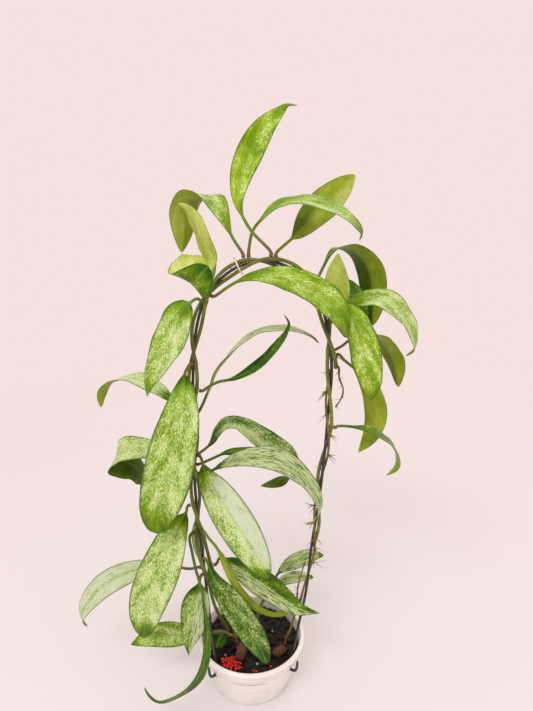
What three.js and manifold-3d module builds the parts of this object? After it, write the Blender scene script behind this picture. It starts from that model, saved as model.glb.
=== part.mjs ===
// A potted hoya: long speckled leaves on vines that twine round a wire hoop in a small white pot.
// Millimetres, +Z up, +X to the right and -Y towards the front. The origin is the centre of the
// pot's base, so z = 0 is the surface that the pot stands on.
import * as THREE from "three";
import { mergeVertices } from "three/addons/utils/BufferGeometryUtils.js";
import Module from "manifold-3d";

const wasm = await Module();
wasm.setup();

// ---------------------------------------------------------------- driving dimensions
const GAP = 0.3; // clearance between pieces that touch
const POT = { height: 48, rimRadius: 50, baseRadius: 36, wall: 1.8, floor: 3, segments: 40 };
const SOIL_LEVEL = 40;
const SOIL_SEGMENTS = 28;
const WIRE_RADIUS = 1.25;
const VINE_RADIUS = 1.45;
const ROOT_VINE_RADIUS = 0.95;
const VINE_PITCH = 95; // length of wire for one turn of a vine
const NODE_SWELLING = 1.3; // a vine's radius at a leaf, against its radius between leaves
const NODE_REACH = 3.5; // how far along the vine a swelling runs
const PETIOLE_RADIUS = 1.2;
const PETIOLE_LEAD = 2.5; // straight start of a leaf stalk, square to its vine
const BLADE_THICKNESS = 1.3;
const LEAF_STEP = 9; // distance between the cross-sections of a leaf
const GRANULE_RADIUS = 1.2;
const LABEL = { width: 31, height: 10, thickness: 0.6, level: 28, azimuth: -92, steps: 8 };

// ---------------------------------------------------------------- materials
function finish(color, roughness, metalness = 0) {
  return new THREE.MeshStandardMaterial({ color, roughness, metalness });
}
const BRIGHT_LEAF = finish(0x86b030, 0.4);
const DEEP_LEAF = finish(0x3f7a26, 0.38);
const SILVER_LEAF = finish(0xa9bd86, 0.42);
const GREEN_STEM = finish(0x77802f, 0.55);
const BROWN_STEM = finish(0x6b4a2c, 0.7);
const DARK_WIRE = finish(0x2a2a2c, 0.3, 0.6);
const WHITE_PLASTIC = finish(0xf1eee6, 0.32);
const WHITE_PAPER = finish(0xf7f5f0, 0.6);
const HUSK = finish(0x2b2018, 0.85);
const BARK = finish(0x6a4330, 0.6);
const RED_GRANULE = finish(0xc81e1e, 0.35);
const PALE_TIE = finish(0xe9e2cf, 0.5);

// ---------------------------------------------------------------- geometry helpers
const vector = (p) => new THREE.Vector3(p[0], p[1], p[2]);
const clamp01 = (value) => Math.min(1, Math.max(0, value));
const mix = (a, b, k) => a + (b - a) * k;

// Repeatable random numbers from 0 to 1.
function randomFrom(seed) {
  let state = seed;
  return () => {
    state = (state * 1664525 + 1013904223) % 4294967296;
    return state / 4294967296;
  };
}

function smoothCurve(points) {
  const curve = new THREE.CatmullRomCurve3(points, false, "centripetal");
  curve.arcLengthDivisions = 400;
  return curve;
}

function geometryFrom(vertices, faces) {
  const positions = new Float32Array(vertices.length * 3);
  vertices.forEach((v, i) => positions.set([v.x, v.y, v.z], i * 3));
  const geometry = new THREE.BufferGeometry();
  geometry.setAttribute("position", new THREE.BufferAttribute(positions, 3));
  geometry.setIndex(faces.flat());
  geometry.computeVertexNormals();
  return geometry;
}

// A closed skin over rings that all run the same way round. Where a ring's cells are listed in
// flipped, their diagonal is the other one.
function skin(rings, tip, flipped = () => false) {
  const count = rings[0].length;
  const vertices = rings.flat();
  const faces = [];
  for (let i = 0; i < rings.length - 1; i++) {
    for (let j = 0; j < count; j++) {
      const a = i * count + j;
      const b = i * count + ((j + 1) % count);
      const c = a + count;
      const d = b + count;
      if (flipped(j)) faces.push([a, b, c], [b, d, c]);
      else faces.push([a, b, d], [a, d, c]);
    }
  }
  for (let j = 1; j < count - 1; j++) faces.push([0, j + 1, j]);
  const last = (rings.length - 1) * count;
  if (tip) {
    vertices.push(tip);
    for (let j = 0; j < count; j++) faces.push([last + j, last + ((j + 1) % count), vertices.length - 1]);
  } else {
    for (let j = 1; j < count - 1; j++) faces.push([last, last + j, last + j + 1]);
  }
  return geometryFrom(vertices, faces);
}

// A round rod along points, with a radius at each point. Its rings turn as little as they can.
function rod(points, radiusAt, sides, firstTangent) {
  const rings = [];
  let across = null;
  points.forEach((point, i) => {
    const before = points[Math.max(0, i - 1)];
    const after = points[Math.min(points.length - 1, i + 1)];
    let tangent = after.clone().sub(before).normalize();
    if (i === 0 && firstTangent) tangent = firstTangent.clone();
    if (!across) {
      across = Math.abs(tangent.y) < 0.8 ? new THREE.Vector3(0, 1, 0) : new THREE.Vector3(1, 0, 0);
    }
    across.addScaledVector(tangent, -across.dot(tangent)).normalize();
    const other = tangent.clone().cross(across);
    const ring = [];
    for (let j = 0; j < sides; j++) {
      const angle = (2 * Math.PI * j) / sides;
      ring.push(
        point
          .clone()
          .addScaledVector(across, radiusAt(i) * Math.cos(angle))
          .addScaledVector(other, radiusAt(i) * Math.sin(angle)),
      );
    }
    rings.push(ring);
  });
  return skin(rings, null);
}

function solidFrom(geometry) {
  const bare = geometry.clone();
  bare.deleteAttribute("normal");
  bare.deleteAttribute("uv");
  const merged = mergeVertices(bare, 1e-3);
  return new wasm.Manifold(
    new wasm.Mesh({
      numProp: 3,
      vertProperties: merged.attributes.position.array,
      triVerts: new Uint32Array(merged.index.array),
    }),
  );
}

function geometryOf(solid) {
  const mesh = solid.getMesh();
  const positions = new Float32Array(mesh.numVert * 3);
  for (let i = 0; i < mesh.numVert; i++) {
    positions.set(mesh.vertProperties.subarray(i * mesh.numProp, i * mesh.numProp + 3), i * 3);
  }
  const geometry = new THREE.BufferGeometry();
  geometry.setAttribute("position", new THREE.BufferAttribute(positions, 3));
  geometry.setIndex(new THREE.BufferAttribute(mesh.triVerts, 1));
  geometry.computeVertexNormals();
  return geometry;
}

const plant = new THREE.Group();

function place(name, geometry, material) {
  const mesh = new THREE.Mesh(geometry, material);
  mesh.name = name;
  plant.add(mesh);
  return mesh;
}

// ---------------------------------------------------------------- wire hoop
// The wire stands in the soil at both ends. Each end leaves the pot through a hole in its wall
// and is bent up outside. The run between the ends is the hoop that the vines climb.
const HOOP_RUN = [
  [-31, -30, 48], [-34, -28, 72], [-37, -25, 108], [-40, -21, 144], [-44, -16, 182],
  [-46, -12, 216], [-46, -8, 258], [-45, -5, 301], [-42, -2, 338], [-35, 0, 363],
  [-23, 0, 380], [-6, 0, 392], [11, 0, 396], [29, 0, 392], [44, 0, 383], [56, 0, 365],
  [63, -1, 341], [67, -3, 309], [65, -6, 275], [63, -9, 241], [59, -12, 196],
  [53.5, -15, 154], [49.5, -17, 109], [44, -19, 78], [38, -22, 48],
].map(vector);
const LEFT_END_AZIMUTH = -136;
const RIGHT_END_AZIMUTH = -34;
const HOOK_HOLE_LEVEL = 29.5;
// Radius and height of each bend of a wire end, from inside the pot to the tip outside.
const WIRE_END = [
  [40.4, 39], [39.8, 33.5], [41, 30.5], [43.3, HOOK_HOLE_LEVEL], [46.6, HOOK_HOLE_LEVEL], [49, 31],
  [50.4, 35], [50.9, 42],
];
const WIRE_STEP = 7; // longest distance between the wire's cross-sections
const WIRE_SIDES = 6;

function atAzimuth(radius, degrees, z) {
  const angle = THREE.MathUtils.degToRad(degrees);
  return new THREE.Vector3(radius * Math.cos(angle), radius * Math.sin(angle), z);
}

const hoop = smoothCurve(HOOP_RUN);
const hoopLength = hoop.getLength();

const wirePath = smoothCurve([
  ...WIRE_END.map(([r, z]) => atAzimuth(r, LEFT_END_AZIMUTH, z)).reverse(),
  ...HOOP_RUN,
  ...WIRE_END.map(([r, z]) => atAzimuth(r, RIGHT_END_AZIMUTH, z)),
]);

// Every point that a curve is drawn through, and more between those that are far apart.
function bendPoints(curve, step) {
  const spans = curve.points.length - 1;
  const points = [];
  for (let i = 0; i < spans; i++) {
    const cuts = Math.max(1, Math.round(curve.points[i].distanceTo(curve.points[i + 1]) / step));
    for (let k = 0; k < cuts; k++) points.push(curve.getPoint((i + k / cuts) / spans));
  }
  points.push(curve.getPoint(1));
  return points;
}

function wireRod(extra) {
  return rod(bendPoints(wirePath, WIRE_STEP), () => WIRE_RADIUS + extra, WIRE_SIDES);
}

// ---------------------------------------------------------------- stems
// The point beside the wire where a vine runs, at a distance along the hoop.
function besideWire(distance, phase, offset) {
  const u = clamp01(distance / hoopLength);
  const centre = hoop.getPointAt(u);
  const along = hoop.getTangentAt(u);
  const back = new THREE.Vector3(0, 1, 0);
  back.addScaledVector(along, -back.dot(along)).normalize();
  const out = along.clone().cross(back);
  const angle = phase + (2 * Math.PI * distance) / VINE_PITCH;
  centre.addScaledVector(out, offset * Math.cos(angle));
  return centre.addScaledVector(back, offset * Math.sin(angle));
}

const VINE_STEP = 7.5;
const MAIN_PHASE = THREE.MathUtils.degToRad(111);
const ROOTED_PHASE = THREE.MathUtils.degToRad(28);
const CLIMBERS = [
  { name: "vine_main", from: 113, to: 652, phase: MAIN_PHASE,
    root: [[-13, -7, 32], [-14, -9, 52], [-20, -13, 80], [-28, -17, 110], [-34, -18, 136]] },
  { name: "vine_second", from: 65, to: 492, phase: MAIN_PHASE + Math.PI,
    root: [[-22, 4, 32], [-23, 0, 52], [-27, -10, 72], [-31, -19, 92]] },
  { name: "vine_rooted", from: 705, to: 477, phase: ROOTED_PHASE, thin: true,
    root: [[30, -6, 32], [32, -9, 46], [36, -14, 64], [40, -16, 82]] },
];

function climberStem(climber) {
  const radius = climber.thin ? ROOT_VINE_RADIUS : VINE_RADIUS;
  const offset = WIRE_RADIUS + radius + 2.5 * GAP;
  const steps = Math.round(Math.abs(climber.to - climber.from) / VINE_STEP);
  const climb = [];
  for (let i = 0; i <= steps; i++) {
    climb.push(besideWire(mix(climber.from, climber.to, i / steps), climber.phase, offset));
  }
  const rise = smoothCurve([...climber.root.map(vector), climb[0], climb[1]]);
  const riseSteps = Math.round(rise.getLength() / VINE_STEP);
  const points = rise.getSpacedPoints(riseSteps).slice(0, -1);
  return { name: climber.name, points: [...points, ...climb.slice(1)], radius, offset, swellings: [] };
}

const stems = CLIMBERS.map(climberStem);
const SHOOT = [[4, 16, 33], [6, 19, 50], [12, 21, 68], [20, 21, 87]];
stems.push({
  name: "shoot_back",
  points: smoothCurve(SHOOT.map(vector)).getSpacedPoints(8),
  radius: VINE_RADIUS,
  swellings: [],
});
const stemNamed = (name) => stems.find((stem) => stem.name === name);

// Where a leaf stalk leaves its stem: on the climbing vine that runs on the leaf's side of the
// wire, or at the point of a named stem nearest to a given one.
function budFor(leaf) {
  const toward = vector(leaf.path[0]);
  let stem;
  let centre;
  if (leaf.near) {
    const target = vector(leaf.near);
    stem = stemNamed(leaf.stem);
    const curve = smoothCurve(stem.points);
    const samples = curve.getSpacedPoints(200);
    centre = samples.reduce((best, p) => (p.distanceTo(target) < best.distanceTo(target) ? p : best));
  } else {
    const passing = CLIMBERS.filter(({ thin, from, to }) => !thin && leaf.at > from && leaf.at < to);
    const options = passing.map((climber) => {
      const candidate = stemNamed(climber.name);
      return { candidate, point: besideWire(leaf.at, climber.phase, candidate.offset) };
    });
    options.sort((a, b) => a.point.distanceTo(toward) - b.point.distanceTo(toward));
    stem = options[0].candidate;
    centre = options[0].point;
  }
  const nearest = stem.points.reduce(
    (best, p, i) => (p.distanceTo(centre) < stem.points[best].distanceTo(centre) ? i : best),
    0,
  );
  const before = stem.points[Math.max(0, nearest - 1)];
  const after = stem.points[Math.min(stem.points.length - 1, nearest + 1)];
  const axis = after.clone().sub(before).normalize();
  const direction = toward.clone().sub(centre);
  direction.addScaledVector(axis, -direction.dot(axis)).normalize();
  stem.swellings.push(centre);
  const start = centre.clone().addScaledVector(direction, stem.radius * NODE_SWELLING + GAP);
  return { start, direction };
}

// The curve of a leaf or twig, which starts square to the stem that it grows on.
function curveFrom(bud, path) {
  const lead = bud.start.clone().addScaledVector(bud.direction, PETIOLE_LEAD);
  return smoothCurve([bud.start, lead, ...path.map(vector)]);
}

// ---------------------------------------------------------------- leaves
// A leaf is one piece from the foot of its stalk to its tip. path holds the points of its midrib,
// face the way its upper side looks from base to tip, width its widest place, and stalk the
// length of bare stalk. base and tip say how slowly it widens and narrows, cup how far its edges
// rise (or fall, below 0) and wave how much they ripple, all against half its width.
const LEAVES = [
  { name: "leaf_crown_upright", at: 384, width: 20, stalk: 32, base: 1.4, tip: 1.35, tone: BRIGHT_LEAF,
    path: [[2, -8, 420], [-6, -6, 437], [-5, 0, 455], [1, 6, 472], [11.5, 12, 490.5], [23.5, 17, 503],
      [30, 20, 508.5], [38, 22, 509]],
    face: [[-0.3, -0.9, 0.3], [0.1, -0.95, 0.2], [0.3, -0.85, 0.4], [0.2, -0.5, 0.85]] },
  { name: "leaf_crown_back", at: 388, width: 25.5, stalk: 22, base: 0.75, tip: 0.75, tone: BRIGHT_LEAF,
    path: [[37, 14, 414], [54, 28, 431.5], [73, 44, 446.5], [89.5, 60, 461]],
    face: [[-0.4, 0.8, -0.1], [-0.35, 0.8, -0.2], [-0.3, 0.8, 0]] },
  { name: "leaf_crown_arch", at: 368, width: 22.5, stalk: 24, base: 1, tone: BRIGHT_LEAF,
    path: [[4, 3, 418], [13, 2, 429], [23, 0, 437], [38, -4, 440], [53, -8, 438], [69, -10, 432],
      [79, -10, 424], [85, -8, 417], [84, -6, 411]],
    face: [[-0.6, -0.4, 0.6], [-0.1, -0.35, 0.95], [0.3, -0.4, 0.8], [0.9, -0.4, 0.3]] },
  { name: "leaf_left_arch", at: 364, width: 28, stalk: 18, base: 1, tone: BRIGHT_LEAF,
    path: [[-11, 3, 412], [-20, 8, 430], [-27, 14, 441], [-36, 22, 444.5], [-46, 30, 442],
      [-52.5, 37, 431], [-54.5, 40, 416], [-57, 42, 398]],
    face: [[0.5, -0.6, 0.5], [0.3, -0.5, 0.8], [-0.2, 0.4, 0.9], [-0.6, 0.75, 0.2],
      [-0.45, 0.85, -0.1]] },
  { name: "leaf_left_inner", at: 335, width: 22, stalk: 8, base: 0.6, tip: 0.8, tone: BRIGHT_LEAF,
    path: [[-29, 1, 397], [-32.5, 2, 405], [-36.5, 4, 415], [-40.5, 8, 424], [-47, 11, 434],
      [-54, 13, 438]],
    face: [[0.75, 0.6, 0.1], [0.7, 0.6, 0.3], [0.4, 0.7, 0.6], [0.1, 0.7, 0.7]] },
  { name: "leaf_left_cup", at: 329, width: 34, stalk: 12, base: 0.6, tip: 0.5, wave: 0,
    tone: BRIGHT_LEAF,
    path: [[-35, 15, 380], [-38, 24, 388], [-41.5, 20, 397], [-41.5, 11, 397], [-42, 4, 390],
      [-45, -6, 382.5], [-41, -15, 380.5], [-28.5, -18.5, 394]],
    face: [[0, 0.3, -0.9], [0, 0, -1], [0, 0.6, -0.8], [0, 1, 0], [-0.5, 0.1, -0.87], [0, -1, -0.1],
      [0, -1, 0]] },
  { name: "leaf_front_arch", at: 327, width: 28, stalk: 22, base: 1, tip: 0.6, tone: BRIGHT_LEAF,
    path: [[-16, -7, 376], [-8, -10, 381], [2, -13, 385], [17, -18, 386.5], [32, -24, 384.5],
      [46, -30, 379], [59, -36, 370], [67.5, -40, 359], [72, -42, 345]],
    face: [[-0.3, -0.5, 0.8], [0, -0.6, 0.8], [0.3, -0.65, 0.65], [0.7, -0.65, 0.3]] },
  { name: "leaf_left_hanging", at: 321, width: 29.5, stalk: 14, base: 0.5, tip: 1.05, tone: BRIGHT_LEAF,
    path: [[-39, -10, 368], [-50, -15, 359], [-57, -20, 342], [-66, -23, 325], [-75, -24, 307],
      [-79, -23, 293]],
    face: [[-0.3, -0.8, 0.5], [-0.4, -0.85, 0.3], [-0.4, -0.9, 0.1]] },
  { name: "leaf_right_back_arch", at: 421, width: 25, stalk: 16, base: 1, tip: 0.7, tone: BRIGHT_LEAF,
    path: [[60, 10, 391.5], [64, 12, 399], [69, 15, 403.5], [75.5, 20, 404.5], [82.5, 27, 402.5],
      [89, 33, 399], [95.5, 38, 393.5], [100.5, 41, 386.5], [104, 43, 378], [106, 44, 368.5],
      [107.5, 44, 354.5], [107.5, 43, 335]],
    face: [[-0.5, -0.3, 0.85], [-0.4, -0.1, 0.9], [0, 0.3, 0.95], [0.4, 0.8, 0.4], [0.3, 0.95, 0],
      [0.3, 0.95, -0.1]] },
  { name: "leaf_right_dark", at: 432, width: 24, stalk: 14, tone: DEEP_LEAF,
    path: [[70, 18, 371.5], [78, 25, 369], [88, 28, 361], [95, 30, 349], [99, 30, 340]],
    face: [[0, -0.8, 0.6], [0.3, -0.8, 0.5], [0.5, -0.8, 0.3]] },
  { name: "leaf_right_hanging", at: 438, width: 26.5, stalk: 14, base: 0.55, tip: 0.7,
    tone: BRIGHT_LEAF,
    path: [[68, -11, 366], [75.5, -18, 360], [81, -22, 352], [86, -25, 340], [90, -27, 324],
      [94, -27, 308], [96, -25, 291]],
    face: [[0.2, -0.7, 0.7], [0.4, -0.85, 0.4], [0.2, -1, 0.1], [0, -1, 0]] },
  { name: "leaf_right_arch", at: 446, width: 29, stalk: 14, base: 0.6, tip: 0.95, tone: BRIGHT_LEAF,
    path: [[76, 0, 363], [88, -3, 366], [100, -7, 367.5], [111.5, -12, 363], [121.5, -14, 352.5],
      [127, -16, 340], [129.5, -14, 330], [124, -10, 322]],
    face: [[-0.1, -0.4, 0.9], [0.1, -0.4, 0.9], [0.6, -0.5, 0.6], [0.9, -0.4, 0.2]] },
  { name: "leaf_right_small", at: 455, width: 20, stalk: 10, base: 0.6, tip: 0.9, tone: BRIGHT_LEAF,
    path: [[72, 5.8, 360], [71, 5.8, 371], [69.5, 5.5, 385], [70, 5, 401]],
    face: [[-0.12, 1, 0.1], [0.1, 1, 0]] },
  { name: "leaf_branch_outer", at: 478, width: 24, stalk: 24, tone: BRIGHT_LEAF,
    path: [[76, 10, 325], [85, 18, 329], [97, 24, 331.5], [110, 28, 328], [120, 30, 316],
      [127, 30, 301], [130, 28, 283]],
    face: [[-0.2, 0.1, 1], [0.2, 0.2, 0.95], [0.7, 0.6, 0.3], [0.7, 0.7, 0]] },
  { name: "leaf_branch_lower", at: 482, width: 19.5, stalk: 24, tip: 0.85, tone: BRIGHT_LEAF,
    path: [[78, 3, 315], [87, 6, 307], [97, 8, 295], [105, 9, 278], [107, 8, 262], [103, 5, 247],
      [93, 2, 233]],
    face: [[0.3, 0.8, 0.4], [0.4, 0.9, 0.1], [0.3, 0.95, 0]] },
  { name: "leaf_right_curl", at: 541, width: 17, stalk: 14, tip: 1.1, tone: DEEP_LEAF,
    path: [[72, -9, 262], [86, -10, 262], [103, -12, 258], [112, -13, 252], [119, -12, 245],
      [123, -11, 236], [123, -9, 225], [116, -6, 215]],
    face: [[0, -0.05, 1], [0.2, -0.05, 0.95], [0.8, 0, 0.5], [0.9, 0.1, -0.4]] },
  { name: "leaf_centre_front", at: 270, width: 38, stalk: 12, base: 0.68, tip: 0.5, tone: BRIGHT_LEAF,
    path: [[-50, -12, 309], [-50, -22, 298], [-52, -34, 278], [-57, -42, 257], [-62, -47, 234],
      [-69, -50, 210], [-72, -50, 189]],
    face: [[0, -0.8, 0.6], [0, -0.95, 0.3], [-0.1, -0.98, 0.15], [0, -1, 0.05]] },
  { name: "leaf_inner_dark", at: 246, width: 12.5, stalk: 24, tip: 1.05, tone: DEEP_LEAF,
    path: [[-33, -4, 294.5], [-25, -5, 299], [-12, -5, 302], [0.5, -4, 308], [13.5, -2, 318],
      [23.5, 0, 329], [31, 2, 340], [32.5, 3, 346], [28, 3, 353]],
    face: [[-0.2, -0.4, 0.9], [-0.3, -0.4, 0.85], [-0.6, -0.4, 0.65], [-0.9, -0.3, 0.2]] },
  { name: "leaf_left_low_arch", at: 236, width: 21, stalk: 20, tone: SILVER_LEAF,
    path: [[-58, 6, 276], [-67, 8, 280], [-76, 10, 287], [-93, 12, 295], [-105, 13, 296],
      [-116, 12, 293], [-122, 11, 287], [-125, 10, 280], [-125.5, 8, 272]],
    face: [[0, -0.4, 0.9], [0, -0.3, 1], [-0.5, 0.2, 0.8], [-0.75, 0.6, 0.2]] },
  { name: "leaf_inner_arch", at: 226, width: 18, stalk: 18, base: 0.65, tone: SILVER_LEAF,
    path: [[-33, 5, 290], [-27, 8, 304], [-16, 10, 317.5], [-6, 12, 327.5], [7, 15, 335.5],
      [21, 16, 338], [32, 16, 338.5], [43, 15, 336], [53, 13, 331.5], [58, 11, 327]],
    face: [[-0.8, 0.3, 0.5], [-0.6, 0.1, 0.8], [0, -0.1, 1], [0.4, -0.1, 0.9]] },
  { name: "leaf_left_curl", at: 184, width: 28, stalk: 18, base: 0.6, tip: 0.5, tone: BRIGHT_LEAF,
    path: [[-62, -8, 233], [-74, -11, 239], [-84, -13, 243], [-94, -14, 244.5], [-102, -14, 243.5],
      [-107.5, -13, 240], [-110.5, -11, 235], [-106, -7, 229], [-98, -4, 223], [-93, -2, 214],
      [-95, 0, 203.5]],
    face: [[0.2, -0.4, 0.9], [0, -0.4, 0.9], [-0.6, -0.3, 0.7], [-0.9, 0.3, -0.2], [-0.6, 0.5, -0.6]] },
  { name: "leaf_centre_right", at: 190, width: 31, stalk: 10, base: 0.65, tip: 0.65, tone: SILVER_LEAF,
    path: [[-35, -15, 219], [-25, -24, 207], [-13, -32, 191], [-1, -38, 173], [9, -42, 156],
      [16, -44, 142]],
    face: [[0.1, -0.9, 0.45], [0.1, -0.95, 0.25], [0, -1, 0.1]] },
  { name: "leaf_twisted", at: 190, width: 23, stalk: 12, base: 0.8, tone: SILVER_LEAF,
    path: [[-33, 9, 239], [-28, 11, 248], [-21.5, 12, 254.5], [-13.5, 14, 255], [-4, 16, 249.5],
      [6, 18, 242], [17.5, 19, 233.5], [28, 19, 226.5], [36, 18, 220], [39.5, 15, 213], [36, 12, 206],
      [24, 10, 200.5], [9, 9, 197]],
    face: [[-0.5, -0.5, 0.7], [0, -0.3, 0.95], [0.3, -0.6, 0.7], [0.9, -0.2, 0.3], [0.2, 0.6, -0.8]] },
  { name: "leaf_behind_silver", at: 181, width: 12, stalk: 22, tone: DEEP_LEAF,
    path: [[-30, 3, 228], [-20, 4, 232], [-4, 3, 232.5], [13, 2, 231.5], [30, 0, 229.5], [42, -2, 225]],
    face: [[0, -0.6, 0.8], [0.2, -0.6, 0.8]] },
  { name: "leaf_silver_arch", at: 174, width: 20.5, stalk: 12, base: 1.1, tip: 1.05, tone: SILVER_LEAF,
    path: [[-33, -4, 219], [-22, -4, 225], [-7, -7, 232], [9, -10, 235], [27, -14, 233], [41, -18, 224],
      [52, -24, 213], [58, -27, 198], [54, -29, 187], [47, -29, 182]],
    face: [[-0.1, -0.7, 0.7], [0.2, -0.75, 0.6], [0.5, -0.75, 0.5], [0.8, -0.5, 0.3],
      [0.5, -0.2, -0.9]] },
  { name: "leaf_lower_front", at: 148, width: 34, stalk: 9, base: 0.6, tip: 0.6, tone: BRIGHT_LEAF,
    path: [[-53, -20, 189], [-60, -30, 179], [-67.5, -38, 161], [-76, -44, 141], [-84, -48, 120],
      [-89, -48, 87]],
    face: [[-0.2, -0.85, 0.5], [-0.1, -0.95, 0.3], [0, -1, 0.1]] },
  { name: "leaf_long_hanging", at: 121, width: 11, stalk: 62, base: 0.9, tone: DEEP_LEAF,
    path: [[-51, -21, 165], [-49, -25, 156], [-45, -31, 140], [-40, -37, 126], [-38, -42, 113],
      [-36, -48, 101], [-35, -54, 87], [-37, -60, 72], [-45, -64, 56], [-61, -66, 44], [-76, -66, 39],
      [-84, -64, 44], [-88, -62, 50]],
    face: [[0.7, -0.6, 0.2], [0.7, -0.7, 0.1], [0.5, -0.75, -0.3], [-0.2, -0.8, -0.5]] },
  { name: "leaf_long_yellow", at: 124, width: 7, stalk: 22, base: 0.3, tip: 0.45, tone: BRIGHT_LEAF,
    path: [[-34, -27, 169], [-28, -31, 164], [-23.5, -31, 155], [-19.5, -31, 144], [-15, -30, 132],
      [-9, -28, 118], [-1, -25, 104], [6, -20, 92], [13, -16, 84], [22, -12, 78], [31, -9, 77],
      [42, -6, 85], [48, -4, 93]],
    face: [[-0.2, 0.9, -0.3], [-0.2, 0.9, -0.3], [0, 1, -0.1], [0.3, 0.9, -0.2]] },
  { name: "leaf_far_left", at: 91, width: 21, stalk: 34, tone: SILVER_LEAF,
    path: [[-53, -17, 131], [-65, -12, 129], [-80, -12, 130], [-96, -16, 130], [-113, -20, 126],
      [-128, -24, 118], [-141, -26, 104], [-148, -26, 88], [-145, -24, 76]],
    face: [[0, -0.7, 0.7], [-0.2, -0.8, 0.6], [-0.5, -0.8, 0.4], [-0.9, -0.4, 0.1]] },
  { name: "leaf_bundle_back", at: 133, width: 10, stalk: 8, tone: DEEP_LEAF,
    path: [[-47, -7, 172], [-47, -7, 160], [-45, -8, 145], [-43, -9, 131]],
    face: [[0, -1, 0.1], [0.1, -1, 0.1]] },
  { name: "leaf_lower_silver", at: 86, width: 24.5, stalk: 9, base: 0.65, tip: 1.2, tone: SILVER_LEAF,
    path: [[-43, -34, 122], [-45, -38, 112], [-47, -43, 97], [-50.5, -47, 82], [-52, -49, 69]],
    face: [[0, -0.9, 0.4], [0, -0.95, 0.3], [0, -1, 0.2]] },
  { name: "leaf_pot_front", at: 99, width: 24, stalk: 8, base: 0.8, tip: 0.65, tone: DEEP_LEAF,
    path: [[-29, -32, 131], [-18, -35, 116], [-7, -38, 99], [2, -40, 84], [9, -41, 70], [15, -41, 52]],
    face: [[-0.2, -0.8, 0.6], [-0.3, -0.8, 0.5], [-0.2, -0.9, 0.3]] },
  { name: "leaf_lower_right", stem: "vine_main", near: [-34, -18, 136], width: 23, stalk: 14, base: 0.8,
    tip: 1.15, tone: DEEP_LEAF,
    path: [[-26, -16, 142], [-18, -15, 137], [-8, -15, 129], [4, -18, 121.5], [19, -22, 113],
      [30, -25, 105.5], [41, -28, 99], [61, -31, 96.5]],
    face: [[0.2, -0.6, 0.8], [0.2, -0.7, 0.7], [0.2, -0.7, 0.7]] },
  { name: "leaf_low_yellow", stem: "vine_main", near: [-14, -8, 52], width: 21, stalk: 30, tip: 0.95,
    tone: BRIGHT_LEAF,
    path: [[-26, -8, 56], [-46, -13, 57], [-64, -19, 63], [-85, -23, 65.5], [-107.5, -26, 58]],
    face: [[-0.2, 0.4, -0.9], [-0.2, 0.7, -0.7], [-0.1, 0.75, -0.7]] },
  { name: "leaf_in_pot", stem: "vine_second", near: [-23, 2, 50], width: 15, stalk: 6, tone: DEEP_LEAF,
    path: [[-27, -6, 51], [-30, -14, 50], [-31, -20, 48]],
    face: [[0.1, -0.3, 1], [0.2, -0.3, 0.9]] },
  { name: "leaf_back_silver", stem: "shoot_back", near: [20, 21, 86], width: 15, stalk: 10,
    tone: SILVER_LEAF,
    path: [[26, 26, 93], [35, 29, 99], [48, 31, 105], [59, 31, 109], [70, 30, 110]],
    face: [[-0.3, -0.7, 0.7], [-0.1, -0.7, 0.7], [0.1, -0.7, 0.7]] },
  { name: "leaf_back_narrow", stem: "shoot_back", near: [18, 21, 81], width: 11, stalk: 10,
    tone: SILVER_LEAF,
    path: [[29, 14, 93], [44, 13, 99], [59, 12, 99]],
    face: [[-0.1, -0.6, 0.8], [0.1, -0.6, 0.8]] },
];

// The columns of a leaf's cross-section: five across the top, then the three between the edges
// along the bottom. Each is a place across the blade and the side that it is on.
const COLUMNS = [
  { across: -1, side: 0 }, { across: -0.5, side: 1 }, { across: 0, side: 1 }, { across: 0.5, side: 1 },
  { across: 1, side: 0 }, { across: 0.5, side: -1 }, { across: 0, side: -1 }, { across: -0.5, side: -1 },
];
const MID_COLUMN_THICKNESS = 0.42; // half thickness midway to the edge, against the whole at the rib
const BLADE_ENTRY = 0.16; // share of the blade over which round stalk turns into flat blade
const TIP_HALF_WIDTH = 0.7;
const RIPPLE_PACE = 17; // radians of ripple along a whole blade
const RIPPLE_TURN = 2.4; // how far each leaf's ripple is ahead of the last one's
const RIPPLE_SPREAD = 2; // how far one edge's ripple is ahead of the other's

// The share of the full width at a place along the blade, from 0 at its base to 1 at its tip.
function bladeOutline(along, base, tip) {
  const peak = base / (base + tip);
  const highest = Math.pow(peak, base) * Math.pow(1 - peak, tip);
  return (Math.pow(along, base) * Math.pow(1 - along, tip)) / highest;
}

function listMix(list, k) {
  const place = clamp01(k) * (list.length - 1);
  const i = Math.min(list.length - 2, Math.floor(place));
  return vector(list[i]).lerp(vector(list[i + 1]), place - i);
}

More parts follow.
